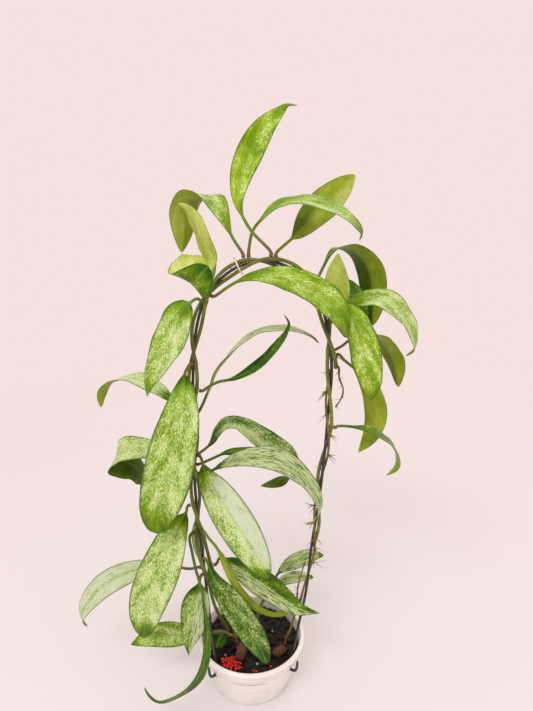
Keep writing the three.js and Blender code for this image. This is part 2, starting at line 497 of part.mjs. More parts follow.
function leafGeometry(leaf, bud, order) {
  const { base = 0.85, tip = 0.8, cup = 0.12, wave = 0.05 } = leaf;
  const curve = curveFrom(bud, leaf.path);
  const length = curve.getLength();
  const steps = Math.round(length / LEAF_STEP);
  const ripple = [order * RIPPLE_TURN, order * RIPPLE_TURN + RIPPLE_SPREAD];
  const rings = [];
  for (let i = 0; i < steps; i++) {
    const t = i / steps;
    const centre = curve.getPointAt(t);
    const tangent = i === 0 ? bud.direction.clone() : curve.getTangentAt(t);
    const along = clamp01((t * length - leaf.stalk) / (length - leaf.stalk));
    const normal = listMix(leaf.face, along);
    normal.addScaledVector(tangent, -normal.dot(tangent)).normalize();
    const side = tangent.clone().cross(normal);
    const flat = clamp01(along / BLADE_ENTRY);
    const wide = (leaf.width / 2) * bladeOutline(along, base, tip);
    const half = Math.max(wide, mix(PETIOLE_RADIUS, TIP_HALF_WIDTH, flat));
    rings.push(
      COLUMNS.map(({ across, side: face }) => {
        const round = Math.sign(across) * (Math.abs(across) === 0.5 ? Math.SQRT1_2 : Math.abs(across));
        const sideways = half * mix(round, across, flat);
        const stalkHalf = PETIOLE_RADIUS * Math.sqrt(1 - round * round);
        const bladeHalf = BLADE_THICKNESS * (across === 0 ? 0.5 : MID_COLUMN_THICKNESS);
        const thick = face * mix(stalkHalf, bladeHalf, flat);
        const turn = along * RIPPLE_PACE + ripple[across < 0 ? 0 : 1];
        const bend = flat * half * across * across * (cup + wave * Math.sin(turn));
        return centre.clone().addScaledVector(side, sideways).addScaledVector(normal, thick + bend);
      }),
    );
  }
  return skin(rings, curve.getPointAt(1), (column) => column >= 4);
}

// ---------------------------------------------------------------- aerial roots and dry twigs
const ROOTLET = { sides: 3, radius: 0.75, thinning: 0.3, droop: 0.15, least: 6, more: 7, stray: 1.3 };

function rootlet(from, direction, length) {
  const middle = from.clone().addScaledVector(direction, length / 2);
  const end = from.clone().addScaledVector(direction, length);
  end.z -= length * ROOTLET.droop;
  return rod([from, middle, end], (i) => ROOTLET.radius * (1 - i * ROOTLET.thinning), ROOTLET.sides);
}

// The rooted vine with its rootlets, which stand out of it in clusters, away from the wire.
const ROOT_CLUSTERS = [483, 512, 547, 566, 598, 626, 652, 684];
const ROOTLETS_EACH = 3;

function rootedVine(stem, body) {
  const random = randomFrom(5);
  let vine = solidFrom(body);
  for (const distance of ROOT_CLUSTERS) {
    const from = besideWire(distance, ROOTED_PHASE, stem.offset);
    const away = from.clone().sub(besideWire(distance, ROOTED_PHASE, 0)).normalize();
    for (let i = 0; i < ROOTLETS_EACH; i++) {
      const stray = new THREE.Vector3(random() - 0.5, random() - 0.5, random() - 0.8);
      const direction = away.clone().addScaledVector(stray, ROOTLET.stray).normalize();
      const length = ROOTLET.least + ROOTLET.more * random();
      vine = vine.add(solidFrom(rootlet(from, direction, length)));
    }
  }
  return geometryOf(vine);
}

// ---------------------------------------------------------------- pot
const WALL_TOP = { level: 44, inset: 2.2, bulge: 0.9 }; // where the wall ends below the lip
const HOOK_HOLE = { from: 39, to: 49, clearance: 1.2 }; // radii between which it is cut
const DRAIN = { count: 3, out: 22, azimuth: 30, radius: 3.5 };
const HOLE_SIDES = 10;

function wallRadius(z) {
  const share = Math.pow(clamp01(z / WALL_TOP.level), WALL_TOP.bulge);
  return mix(POT.baseRadius, POT.rimRadius - WALL_TOP.inset, share);
}

function potGeometry() {
  const { height, rimRadius, baseRadius, wall, floor, segments } = POT;
  const outside = [8, 20, 33].map((z) => [wallRadius(z), z]);
  const inside = [42, 30, 18, 8].map((z) => [wallRadius(z) - wall, z]);
  const profile = [
    [0, 0], [baseRadius - 1.5, 0], [baseRadius + 0.2, 1.6], ...outside,
    [wallRadius(35), 35], [wallRadius(36) + 0.6, 36], [wallRadius(43.5) + 0.5, 43.5],
    [rimRadius - 0.5, 44.2], [rimRadius, 45.6], [rimRadius - 0.3, 47.2], [rimRadius - 1.4, height],
    [rimRadius - 2.8, height - 0.2], [rimRadius - 3.8, 46], ...inside,
    [baseRadius - wall, floor + 1.5], [baseRadius - wall - 2, floor], [0, floor],
  ];
  const turned = new THREE.LatheGeometry(profile.map(([r, z]) => new THREE.Vector2(r, z)), segments);
  // A lathe turns about Y, so the pot is stood up on Z.
  turned.rotateX(Math.PI / 2);
  let pot = solidFrom(turned);
  for (const azimuth of [LEFT_END_AZIMUTH, RIGHT_END_AZIMUTH]) {
    const ends = [HOOK_HOLE.from, HOOK_HOLE.to].map((r) => atAzimuth(r, azimuth, HOOK_HOLE_LEVEL));
    pot = pot.subtract(solidFrom(rod(ends, () => WIRE_RADIUS + HOOK_HOLE.clearance, HOLE_SIDES)));
  }
  for (let i = 0; i < DRAIN.count; i++) {
    const foot = atAzimuth(DRAIN.out, DRAIN.azimuth + (360 / DRAIN.count) * i, -1);
    const top = foot.clone().setZ(floor + 1);
    pot = pot.subtract(solidFrom(rod([foot, top], () => DRAIN.radius, HOLE_SIDES)));
  }
  return geometryOf(pot);
}

// ---------------------------------------------------------------- soil, chips and granules
const HEAP = { centre: [-16.5, -29.5], along: 11.5, across: 7.5, azimuth: -32, level: SOIL_LEVEL, sides: 14 };
const HEAP_CLEARING = 2.6; // how far the soil is cut back round the heap
const DUST = { depth: 0.9, inset: 1.4 }; // the bed of dust under the granules
const BARK_CHUNK = { centre: [-8.5, -19, 43.8], size: [8.5, 15, 7], turn: -8 };
const BARK_CHIP = { centre: [26, -17, 42.1], size: [13, 8, 3.6], turn: 35 };

function block(spec, extra) {
  const [x, y, z] = spec.size.map((s) => s + 2 * extra);
  const geometry = new THREE.BoxGeometry(x, y, z);
  geometry.rotateZ(THREE.MathUtils.degToRad(spec.turn));
  geometry.translate(...spec.centre);
  return geometry;
}

// The heap lies askew: x along it and y across it, turned into the plant's own directions.
function onHeap(x, y, z) {
  const turn = THREE.MathUtils.degToRad(HEAP.azimuth);
  return new THREE.Vector3(
    HEAP.centre[0] + x * Math.cos(turn) - y * Math.sin(turn),
    HEAP.centre[1] + x * Math.sin(turn) + y * Math.cos(turn),
    z,
  );
}

// An upright elliptical plug over the granule heap's ground, from one height to another.
function heapPlug(low, high, extra) {
  const ringAt = (z) => {
    const ring = [];
    for (let i = 0; i < HEAP.sides; i++) {
      const angle = (2 * Math.PI * i) / HEAP.sides;
      ring.push(onHeap((HEAP.along + extra) * Math.cos(angle), (HEAP.across + extra) * Math.sin(angle), z));
    }
    return ring;
  };
  return skin([ringAt(low), ringAt(high)], null);
}

// A point just under the foot of a stem, so that its hole is a little deeper than the stem.
function belowFoot(stem) {
  const down = stem.points[0].clone().sub(stem.points[1]).normalize();
  return stem.points[0].clone().addScaledVector(down, 2 * GAP);
}

const SOIL_RINGS = { radii: [36, 27, 18, 9], level: SOIL_LEVEL - 0.5, relief: 1.6 }; // its rough top
const CHIPS = { count: 21, reach: 37, lean: 0.7, level: SOIL_LEVEL - 0.7 };
const CHIP_SIZE = { least: [6, 4, 3.2], more: [7, 4, 1.6] };
const GOLDEN_ANGLE = Math.PI * (3 - Math.sqrt(5));
const STEM_HOLE_SIDES = 8;

function soilGeometry() {
  const random = randomFrom(41);
  const rings = [];
  const ringAt = (radius, z, relief) => {
    const ring = [];
    for (let j = 0; j < SOIL_SEGMENTS; j++) {
      ring.push(atAzimuth(radius, (360 * j) / SOIL_SEGMENTS, z + relief * (random() - 0.5)));
    }
    return ring;
  };
  const clear = POT.wall + GAP + 0.25;
  const low = POT.floor + GAP;
  rings.push(ringAt(POT.baseRadius - clear - 1.6, low, 0));
  rings.push(ringAt(wallRadius(8) - clear - 0.8, 8, 0));
  for (const z of [18, 30]) rings.push(ringAt(wallRadius(z) - clear, z, 0));
  rings.push(ringAt(wallRadius(38) - clear, SOIL_LEVEL - 1.5, 0));
  for (const radius of SOIL_RINGS.radii) rings.push(ringAt(radius, SOIL_RINGS.level, SOIL_RINGS.relief));
  const bed = skin(rings, new THREE.Vector3(0, 0, SOIL_RINGS.level));
  let soil = solidFrom(bed);
  for (let i = 0; i < CHIPS.count; i++) {
    const angle = i * GOLDEN_ANGLE + random() * 0.5;
    const reach = CHIPS.reach * Math.sqrt((i + 0.5) / CHIPS.count);
    const size = CHIP_SIZE.least.map((least, k) => least + CHIP_SIZE.more[k] * random());
    const chip = new THREE.BoxGeometry(...size);
    chip.rotateX((random() - 0.5) * CHIPS.lean);
    chip.rotateY((random() - 0.5) * CHIPS.lean);
    chip.rotateZ(random() * Math.PI);
    chip.translate(reach * Math.cos(angle), reach * Math.sin(angle), CHIPS.level);
    soil = soil.add(solidFrom(chip));
  }
  const stemHole = (stem) => {
    return rod([belowFoot(stem), ...stem.points], () => stem.radius + 2 * GAP, STEM_HOLE_SIDES);
  };
  const cuts = [
    wireRod(2 * GAP),
    heapPlug(SOIL_LEVEL - GAP, POT.height, HEAP_CLEARING),
    block(BARK_CHUNK, GAP),
    block(BARK_CHIP, GAP),
    ...stems.map(stemHole),
  ];
  for (const cut of cuts) soil = soil.subtract(solidFrom(cut));
  const bodies = soil.decompose();
  bodies.sort((a, b) => b.volume() - a.volume());
  return geometryOf(bodies[0]);
}

// Granules lie in rows, each row half a step on from the last, a little astray.
const GRANULE_ROWS = 3; // on each side of the middle one
const GRANULE_COLUMNS = 6;
const GRANULE_SPACING = GRANULE_RADIUS * 2.25;
const ROW_SPACING = 0.87; // distance of two rows, against the spacing along a row
const GRANULE_STRAY = 0.9;
const GRANULE_SEAT = 0.85; // height of the lowest granules' middle, against their radius
const BARE_SHARE = 0.08; // share of the places that stay empty
const HEAP_CORE = 0.6; // share of the heap where granules lie on one another

// Round fertiliser granules in a low heap, touching one another and the thin bed of dust below.
function granuleGeometry() {
  const random = randomFrom(97);
  let heap = solidFrom(heapPlug(HEAP.level, HEAP.level + DUST.depth, -DUST.inset));
  const margin = GRANULE_RADIUS / 2;
  for (let row = -GRANULE_ROWS; row <= GRANULE_ROWS; row++) {
    for (let column = -GRANULE_COLUMNS; column <= GRANULE_COLUMNS; column++) {
      const shift = row % 2 ? 0.5 : 0;
      const x = (column + shift) * GRANULE_SPACING + (random() - 0.5) * GRANULE_STRAY;
      const y = row * GRANULE_SPACING * ROW_SPACING + (random() - 0.5) * GRANULE_STRAY;
      const lift = random();
      const inside = Math.hypot(x / (HEAP.along - margin), y / (HEAP.across - margin));
      if (inside > 1 || lift < BARE_SHARE) continue;
      const rise = GRANULE_RADIUS * GRANULE_SEAT + (inside < HEAP_CORE ? lift * GRANULE_STRAY : 0);
      const ball = new THREE.IcosahedronGeometry(GRANULE_RADIUS, 0);
      ball.translate(...onHeap(x, y, HEAP.level + rise).toArray());
      heap = heap.add(solidFrom(ball));
    }
  }
  for (const cut of [wireRod(GAP), block(BARK_CHUNK, GAP)]) heap = heap.subtract(solidFrom(cut));
  const bodies = heap.decompose();
  bodies.sort((a, b) => b.volume() - a.volume());
  return geometryOf(bodies[0]);
}

// ---------------------------------------------------------------- label and tie
// A bare paper label that follows the round of the pot's wall.
function labelGeometry() {
  const rings = [];
  const arc = THREE.MathUtils.radToDeg(LABEL.width / wallRadius(LABEL.level));
  for (let i = 0; i <= LABEL.steps; i++) {
    const azimuth = LABEL.azimuth + arc * (i / LABEL.steps - 0.5);
    const corner = (dz, out) => {
      const z = LABEL.level + dz;
      return atAzimuth(wallRadius(z) + GAP + out, azimuth, z);
    };
    const h = LABEL.height / 2;
    rings.push([corner(h, 0), corner(h, LABEL.thickness), corner(-h, LABEL.thickness), corner(-h, 0)]);
  }
  return skin(rings, null);
}

// A plastic tie that holds the vines to the wire, left of the top of the hoop, at a share of
// the hoop's length.
const TIE = { at: 0.474, radius: 6.7, thickness: 0.8, sides: 6, segments: 18 };

function tieGeometry() {
  const ring = new THREE.TorusGeometry(TIE.radius, TIE.thickness, TIE.sides, TIE.segments);
  ring.lookAt(hoop.getTangentAt(TIE.at));
  const centre = hoop.getPointAt(TIE.at);
  ring.translate(centre.x, centre.y, centre.z);
  return ring;
}

// ---------------------------------------------------------------- the plant put together
const STEM_SIDES = 6;
const TWIG = { radius: 0.8, sides: 5, steps: 12 };
const TWIGS = [
  { name: "twig_right", stem: "vine_second", near: [72, -3, 312],
    path: [[73, -6, 303], [76.5, -6, 293], [75, -6, 285], [70.5, -7, 278]] },
  { name: "twig_low", stem: "vine_rooted", near: [42, -16, 90],
    path: [[41, -19, 99], [42, -19, 113], [44, -20, 126], [48, -21, 142]] },
];

const buds = LEAVES.map(budFor);
const twigBuds = TWIGS.map(budFor);
LEAVES.forEach((leaf, i) => place(leaf.name, leafGeometry(leaf, buds[i], i), leaf.tone));

for (const stem of stems) {
  const swell = (point) => {
    const reach = Math.min(Infinity, ...stem.swellings.map((s) => s.distanceTo(point)));
    return 1 + (NODE_SWELLING - 1) * Math.exp(-Math.pow(reach / NODE_REACH, 2));
  };
  const body = rod(stem.points, (i) => stem.radius * swell(stem.points[i]), STEM_SIDES);
  if (stem.name === "vine_rooted") place(stem.name, rootedVine(stem, body), BROWN_STEM);
  else place(stem.name, body, GREEN_STEM);
}
TWIGS.forEach((twig, i) => {
  const points = curveFrom(twigBuds[i], twig.path).getSpacedPoints(TWIG.steps);
  place(twig.name, rod(points, () => TWIG.radius, TWIG.sides, twigBuds[i].direction), BROWN_STEM);
});
place("wire_hoop", wireRod(0), DARK_WIRE);
place("pot", potGeometry(), WHITE_PLASTIC);
place("substrate", soilGeometry(), HUSK);
place("bark_chunk", block(BARK_CHUNK, 0), BARK);
place("bark_chip", block(BARK_CHIP, 0), BARK);
place("granules", granuleGeometry(), RED_GRANULE);
place("label", labelGeometry(), WHITE_PAPER);
place("tie", tieGeometry(), PALE_TIE);

export default plant;
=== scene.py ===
import math
import random

import bmesh
import bpy
from mathutils import Matrix, Vector, noise


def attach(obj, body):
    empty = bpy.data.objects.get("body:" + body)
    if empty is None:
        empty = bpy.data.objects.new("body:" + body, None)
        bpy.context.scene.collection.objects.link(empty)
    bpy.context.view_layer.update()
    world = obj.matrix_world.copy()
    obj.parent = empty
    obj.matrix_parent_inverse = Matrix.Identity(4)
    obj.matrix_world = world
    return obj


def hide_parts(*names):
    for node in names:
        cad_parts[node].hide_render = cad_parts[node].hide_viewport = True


# A potted hoya. Places and sizes are written in millimetres, as in the CAD, and turned into
# metres where a mesh is made. +Z is up, +X to the right and -Y towards the front.

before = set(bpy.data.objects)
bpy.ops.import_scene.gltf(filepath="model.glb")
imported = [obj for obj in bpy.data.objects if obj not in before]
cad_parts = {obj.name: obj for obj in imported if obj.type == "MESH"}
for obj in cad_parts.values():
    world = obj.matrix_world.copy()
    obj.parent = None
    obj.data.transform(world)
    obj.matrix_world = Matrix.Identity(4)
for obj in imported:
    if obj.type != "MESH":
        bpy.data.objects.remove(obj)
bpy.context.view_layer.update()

MM = 0.001

# ------------------------------------------------------------------ driving dimensions, mm
GAP = 0.3
POT_HEIGHT = 48
POT_RIM = 50
POT_BASE = 36
POT_WALL = 1.8
POT_FLOOR = 3
SOIL_LEVEL = 40
WIRE_RADIUS = 1.25
VINE_RADIUS = 1.45
ROOT_VINE_RADIUS = 0.95
VINE_PITCH = 95
VINE_CLEARANCE = 2.5 * GAP
NODE_SWELLING = 1.3
NODE_REACH = 3.5
PETIOLE_RADIUS = 1.2
PETIOLE_LEAD = 2.5
BLADE_THICKNESS = 1.0
GRANULE_RADIUS = 1.15
TWIG_RADIUS = 0.8
LABEL_WIDTH = 31
LABEL_HEIGHT = 10
LABEL_LEVEL = 28
LABEL_AZIMUTH = -92

# How far apart the rings of points lie along a piece.
LEAF_STEP = 2.0
BUD_STEP = 7.5
STEM_STEP = 2.2
WIRE_STEP = 1.6
TWIG_STEP = 1.6

# ------------------------------------------------------------------ camera
# The photograph's frame is 711 pixels high, and its view is 16 degrees down onto the plant.
PHOTO_HEIGHT = 711
FOCAL_PIXELS = 535
CAMERA_PLACE = (14.4, -415, 439)
CAMERA_DOWN = 16
SENSOR = 36


def mix(a, b, k):
    return a + (b - a) * k


def clamp01(x):
    return min(1.0, max(0.0, x))


def smooth(low, high, x):
    k = clamp01((x - low) / (high - low))
    return k * k * (3 - 2 * k)


def at_azimuth(radius, degrees, z):
    a = math.radians(degrees)
    return Vector((radius * math.cos(a), radius * math.sin(a), z))


# ------------------------------------------------------------------ curves
class Curve:
    """The centripetal curve through points, measured along its length."""

    CUTS = 24

    def __init__(self, points):
        p = [Vector(q) for q in points]
        padded = [p[0] * 2 - p[1], *p, p[-1] * 2 - p[-2]]
        self.samples = []
        for i in range(len(p) - 1):
            for k in range(self.CUTS):
                self.samples.append(self.span(padded[i : i + 4], k / self.CUTS))
        self.samples.append(p[-1])
        self.lengths = [0.0]
        for a, b in zip(self.samples, self.samples[1:]):
            self.lengths.append(self.lengths[-1] + (b - a).length)
        self.length = self.lengths[-1]

    @staticmethod
    def span(four, w):
        a, b, c, d = four
        d0, d1, d2 = (max(1e-4, math.sqrt((q - p).length)) for p, q in zip(four, four[1:]))
        start = ((b - a) / d0 - (c - a) / (d0 + d1) + (c - b) / d1) * d1
        end = ((c - b) / d1 - (d - b) / (d1 + d2) + (d - c) / d2) * d1
        square = b * -3 + c * 3 - start * 2 - end
        cube = b * 2 - c * 2 + start + end
        return b + start * w + square * w * w + cube * w * w * w

    def place(self, u):
        """The sample before the share u of the length, and how far it is to the next."""
        target = clamp01(u) * self.length
        low, high = 0, len(self.lengths) - 1
        while high - low > 1:
            middle = (low + high) // 2
            if self.lengths[middle] <= target:
                low = middle
            else:
                high = middle
        gap = self.lengths[high] - self.lengths[low]
        return low, (target - self.lengths[low]) / gap if gap else 0.0

    def point(self, u):
        i, k = self.place(u)
        return self.samples[i].lerp(self.samples[i + 1], k)

    def tangent(self, u):
        reach = 0.4 / self.length
        return (self.point(u + reach) - self.point(u - reach)).normalized()

    def points(self, steps):
        return [self.point(i / steps) for i in range(steps + 1)]


# ------------------------------------------------------------------ meshes
def mesh_from(name, vertices, faces):
    """A smooth mesh from points in millimetres."""
    mesh = bpy.data.meshes.new(name)
    mesh.from_pydata([v * MM for v in vertices], [], faces)
    mesh.polygons.foreach_set("use_smooth", [True] * len(mesh.polygons))
    mesh.update()
    return mesh


def object_from(mesh, materials, nodes):
    """Makes a piece of the plant, which rides on the root body and may stand for CAD nodes."""
    piece = bpy.data.objects.new(mesh.name, mesh)
    bpy.context.scene.collection.objects.link(piece)
    for material in materials:
        mesh.materials.append(material)
    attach(piece, "root")
    if nodes:
        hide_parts(*nodes)
    return piece


def point_values(mesh, name, values):
    layer = mesh.attributes.new(name, "FLOAT", "POINT")
    layer.data.foreach_set("value", values)


def skin_faces(rings, count):
    """Faces of a closed skin over rings of count points, with a flat face at either end."""
    faces = [tuple(reversed(range(count)))]
    for i in range(rings - 1):
        for j in range(count):
            a = i * count + j
            b = i * count + (j + 1) % count
            faces.append((a, b, b + count, a + count))
    last = (rings - 1) * count
    faces.append(tuple(last + j for j in range(count)))
    return faces


def ring_frames(points, first_tangent=None):
    """Tangent, across and other directions at each point, which turn as little as they can."""
    frames = []
    across = None
    for i, point in enumerate(points):
        before = points[max(0, i - 1)]
        after = points[min(len(points) - 1, i + 1)]
        tangent = (after - before).normalized()
        if i == 0 and first_tangent:
            tangent = first_tangent
        if across is None:
            across = Vector((0, 1, 0)) if abs(tangent.y) < 0.8 else Vector((1, 0, 0))
        across = (across - tangent * across.dot(tangent)).normalized()
        frames.append((tangent, across, tangent.cross(across)))
    return frames


def rod(points, radius_at, sides, first_tangent=None):
    """Points and faces of a round rod, with a radius for each point and angle."""
    vertices = []
    for i, (_, across, other) in enumerate(ring_frames(points, first_tangent)):
        for j in range(sides):
            angle = 2 * math.pi * j / sides
            r = radius_at(i, angle)
            vertices.append(points[i] + across * (r * math.cos(angle)) + other * (r * math.sin(angle)))
    return vertices, skin_faces(len(points), sides)


def joined(parts):
    """One list of points and faces from several."""
    vertices, faces = [], []
    for part_vertices, part_faces in parts:
        start = len(vertices)
        vertices += part_vertices
        faces += [tuple(start + i for i in face) for face in part_faces]
    return vertices, faces


# ------------------------------------------------------------------ materials
def linear(red, green, blue):
    """A colour from sRGB values of 0 to 255."""
    def channel(c):
        c /= 255
        return c / 12.92 if c <= 0.04045 else ((c + 0.055) / 1.055) ** 2.4

    return tuple(channel(c) for c in (red, green, blue))


class Value:
    """What one of a material's nodes gives, with plain arithmetic on it."""

    def __init__(self, nodes, socket):
        self.nodes = nodes
        self.socket = socket

    def __add__(self, other):
        return self.nodes.math("ADD", self, other)

    def __sub__(self, other):
        return self.nodes.math("SUBTRACT", self, other)

    def __mul__(self, other):
        return self.nodes.math("MULTIPLY", self, other)

    def __pow__(self, other):
        return self.nodes.math("POWER", self, other)

    def __abs__(self):
        return self.nodes.math("ABSOLUTE", self)

    def sine(self):
        return self.nodes.math("SINE", self)


class Nodes:
    """A material's node tree. Its colours are sRGB values of 0 to 255, and its lengths millimetres."""

    def __init__(self, name, roughness=0.5, specular=0.5, coat=0.0, coat_roughness=0.1, tint=(1, 1, 1)):
        self.material = bpy.data.materials.new(name)
        self.material.use_nodes = True
        self.tree = self.material.node_tree
        self.tree.nodes.clear()
        self.shader = self.node("BsdfPrincipled", {
            "Roughness": roughness, "Specular IOR Level": specular,
            "Coat Weight": coat, "Coat Roughness": coat_roughness,
        })
        self.shader.inputs["Specular Tint"].default_value = (*tint, 1)
        self.output = self.node("OutputMaterial", {"Surface": Value(self, self.shader.outputs["BSDF"])})

    def put(self, socket, value):
        if isinstance(value, Value):
            self.tree.links.new(value.socket, socket)
        elif socket.type == "RGBA":
            socket.default_value = (*linear(*value), 1)
        else:
            socket.default_value = value

    def node(self, kind, inputs=(), **settings):
        """A new node with its settings made, and its inputs set or linked."""
        node = self.tree.nodes.new("ShaderNode" + kind)
        for name, setting in settings.items():
            setattr(node, name, setting)
        for key, value in dict(inputs).items():
            self.put(node.inputs[key], value)
        return node

    def value(self, kind, inputs=(), out=0, **settings):
        return Value(self, self.node(kind, inputs, **settings).outputs[out])

    def math(self, operation, a, b=0.0):
        return self.value("Math", {0: a, 1: b}, operation=operation)

    def ramp(self, value, low, high, to_low=0.0, to_high=1.0):
        """A smooth change from to_low to to_high, as the value goes from low to high."""
        inputs = {"Value": value, "From Min": low, "From Max": high, "To Min": to_low, "To Max": to_high}
        return self.value("MapRange", inputs, "Result", interpolation_type="SMOOTHSTEP")

    def blend(self, factor, a, b):
        return self.value("Mix", {0: factor, 6: a, 7: b}, 2, data_type="RGBA")

    def between(self, value, low, high, a, b):
        """Colour a where the value is low, and b where it is high."""
        return self.blend(self.ramp(value, low, high), a, b)

    def over(self, color, spots, value, low, high, most):
        """A colour with spots of another where the value is high. most is how far they hide it."""
        return self.blend(self.ramp(value, low, high, 0.0, most), color, spots)

    def xyz(self, x, y, z):
        return self.value("CombineXYZ", {0: x, 1: y, 2: z})

    def split(self, vector):
        return [Value(self, out) for out in self.node("SeparateXYZ", {0: vector}).outputs]

    def blade_place(self):
        """How far a point of a leaf lies to the side of the rib, and along it."""
        x, y, _ = self.split(self.value("UVMap"))
        return x * (1 / MM), y * (1 / MM)

    def place(self):
        """The place in the row's frame."""
        place = self.value("TexCoord", out="Object")
        return self.value("VectorMath", {0: place, "Scale": 1 / MM}, operation="SCALE")

    def attribute(self, name):
        return self.value("Attribute", out="Fac", attribute_name=name)

    def noise(self, vector, scale=1.0, detail=2.0, roughness=0.5, distortion=0.0):
        inputs = {"Vector": vector, "Scale": scale, "Detail": detail, "Roughness": roughness}
        return self.value("TexNoise", {**inputs, "Distortion": distortion}, "Fac")

    def stretched(self, x, y, across, along, layer=0.0, **shape):
        """Noise with its own scale across and along a leaf."""
        return self.noise(self.xyz(x * across, y * along, layer), **shape)

    def cells(self, vector, scale, feature):
        return self.value("TexVoronoi", {"Vector": vector, "Scale": scale}, "Distance", feature=feature)

    def color(self, value):
        self.put(self.shader.inputs["Base Color"], value)

    def roughness(self, value):
        self.put(self.shader.inputs["Roughness"], value)

    def bump(self, height, distance, strength):
        inputs = {"Height": height, "Distance": distance * MM, "Strength": strength}
        self.put(self.shader.inputs["Normal"], self.value("Bump", inputs))


# The stretch of a cloudy noise over which one tint gives way to the other.
CLOUDED = (0.35, 0.65)


def leaf_top_material():
    """The waxy upper side: green with pale flecks, from a few to nearly silver all over."""
    n = Nodes("leaf_top", roughness=0.3, specular=0.28, tint=(0.7, 0.95, 0.35))
    x, y = n.blade_place()
    out = abs(x)
    slant = y - out * 0.9
    tone = n.attribute("leaf_tone")
    silver = n.attribute("leaf_silver")

    cloud = n.stretched(x, slant, across=0.13, along=0.055)
    patch = n.stretched(x, slant, across=0.42, along=0.17, layer=3, detail=4, roughness=0.62, distortion=0.3)
    fleck = n.stretched(x, slant, across=1.15, along=0.4, layer=7, detail=3, roughness=0.62, distortion=0.4)
    speck = n.stretched(x, slant, across=2.1, along=1.1, layer=11, detail=2, roughness=0.6, distortion=0.3)

    bright = n.between(cloud, *CLOUDED, (104, 146, 0), (150, 184, 0))
    deep = n.between(cloud, *CLOUDED, (26, 64, 10), (52, 100, 16))
    green = n.blend(tone, bright, deep)
    whiteness = n.ramp(silver, 0.62, 0.85)
    pale = n.blend(tone, (170, 206, 78), (110, 148, 64))
    pale = n.blend(whiteness, pale, (174, 198, 134))
    white = n.blend(tone, (218, 234, 184), (194, 212, 146))
    silver_white = n.blend(tone, (210, 224, 198), (174, 190, 118))
    white = n.blend(whiteness, white, silver_white)

    # The more silver a leaf is, the lower the level above which its noises show as flecks.
    level = n.ramp(silver + (cloud - 0.5) * 0.55, 0.0, 1.0, 0.67, 0.35)
    soft = n.ramp(patch * 0.3 + fleck * 0.7 - level, -0.12, 0.1)
    crisp = n.ramp(fleck * 0.5 + speck * 0.42 + patch * 0.08 - level, 0.01, 0.05)
    color = n.blend(soft * n.ramp(silver, 0.42, 0.56, 0.3, 0.5), green, pale)
    strength = n.ramp(silver, 0.42, 0.56, 0.98, 0.86) + whiteness * 0.06
    color = n.blend(crisp * strength, color, white)

    # Silver leaves keep thin dark streaks, and a broken green stripe beside the rib.
    streak = n.stretched(x, slant, across=0.95, along=0.09, layer=19, detail=3, roughness=0.6)
    streak = n.ramp(streak - n.ramp(tone, 0.0, 1.0, 0.6, 0.49), 0.0, 0.035)
    streak = streak * whiteness * n.ramp(tone, 0.2, 0.7, 0.45, 0.9)
    color = n.blend(streak, color, n.blend(0.6, green, deep))
    stripe = n.ramp(abs(x - (cloud - 0.45) * 3), 0.3, 2.0, 1.0, 0.0)
    stripe = stripe * (whiteness * n.ramp(fleck, 0.44, 0.58))
    color = n.blend(stripe * 0.8, color, green)

    rib = n.ramp(out, 0.15, 0.8, 1.0, 0.0)
    color = n.blend(rib * 0.28, color, (160, 186, 80))
    margin = n.ramp(n.attribute("leaf_edge"), 0.84, 1.0)
    n.color(n.blend(margin * 0.75, color, (40, 76, 4)))

    n.roughness(n.ramp(crisp, 0.0, 1.0, 0.28, 0.4))
    vein = abs(((y - out * 1.3) * 0.85).sine()) ** 6
    n.bump(vein * -0.3 + speck * 0.3 + patch * 0.9, distance=0.4, strength=0.7)
    return n.material


def leaf_under_material():
    """The paler underside, with a net of veins and a raised rib."""
    n = Nodes("leaf_under", roughness=0.45, specular=0.22, tint=(0.75, 0.95, 0.4))
    x, y = n.blade_place()
    out = abs(x)
    shade = n.attribute("leaf_under")
    broad = n.stretched(x, y, across=0.08, along=0.04, layer=5)
    mottle = n.stretched(x, y, across=0.45, along=0.3, layer=2, detail=3, roughness=0.65, distortion=0.8)
    net = n.cells(n.xyz(x * 0.3, (y - out * 0.8) * 0.2, mottle * 1.2), 1.0, "DISTANCE_TO_EDGE")
    net = n.ramp(net, 0.0, 0.09, 1.0, 0.0)
    # The blend from pale through lime to dark, set by leaf_under, is painted shade on the underside.
    pale = n.between(broad, *CLOUDED, (192, 206, 98), (214, 226, 136))
    lime = n.between(broad, *CLOUDED, (134, 156, 30), (162, 180, 54))
    dark = n.between(broad, *CLOUDED, (38, 62, 4), (58, 84, 12))
    color = n.blend(shade * 2, pale, lime)
    color = n.blend(shade * 2 - 1, color, dark)
    color = n.over(color, (108, 136, 34), mottle, 0.46, 0.66, most=0.22)
    color = n.blend(net * 0.25, color, (86, 108, 30))
    rib = n.ramp(out, 0.5, 1.5, 1.0, 0.0)
    color = n.blend(rib * 0.15, color, (160, 178, 92))
    n.color(n.over(color, (52, 84, 22), n.attribute("leaf_edge"), 0.9, 1.0, most=0.6))
    n.bump(net * 0.5 + mottle * 0.6, distance=0.3, strength=0.5)
    return n.material


def stem_material(name, young, old, spots, roughness=0.5):
    """Bark of a vine, blended from a young to an old colour, with darker flecks."""
    n = Nodes(name, roughness=roughness, specular=0.35)
    place = n.place()
    broad = n.noise(place, scale=0.045)
    streak = n.noise(place, scale=0.6, detail=3, roughness=0.65, distortion=0.4)
    grain = n.noise(place, scale=2.6)
    n.color(n.over(n.between(broad, 0.38, 0.6, young, old), spots, streak, 0.5, 0.68, most=0.7))
    n.bump(streak * 0.7 + grain * 0.3, distance=0.35, strength=0.7)
    return n.material


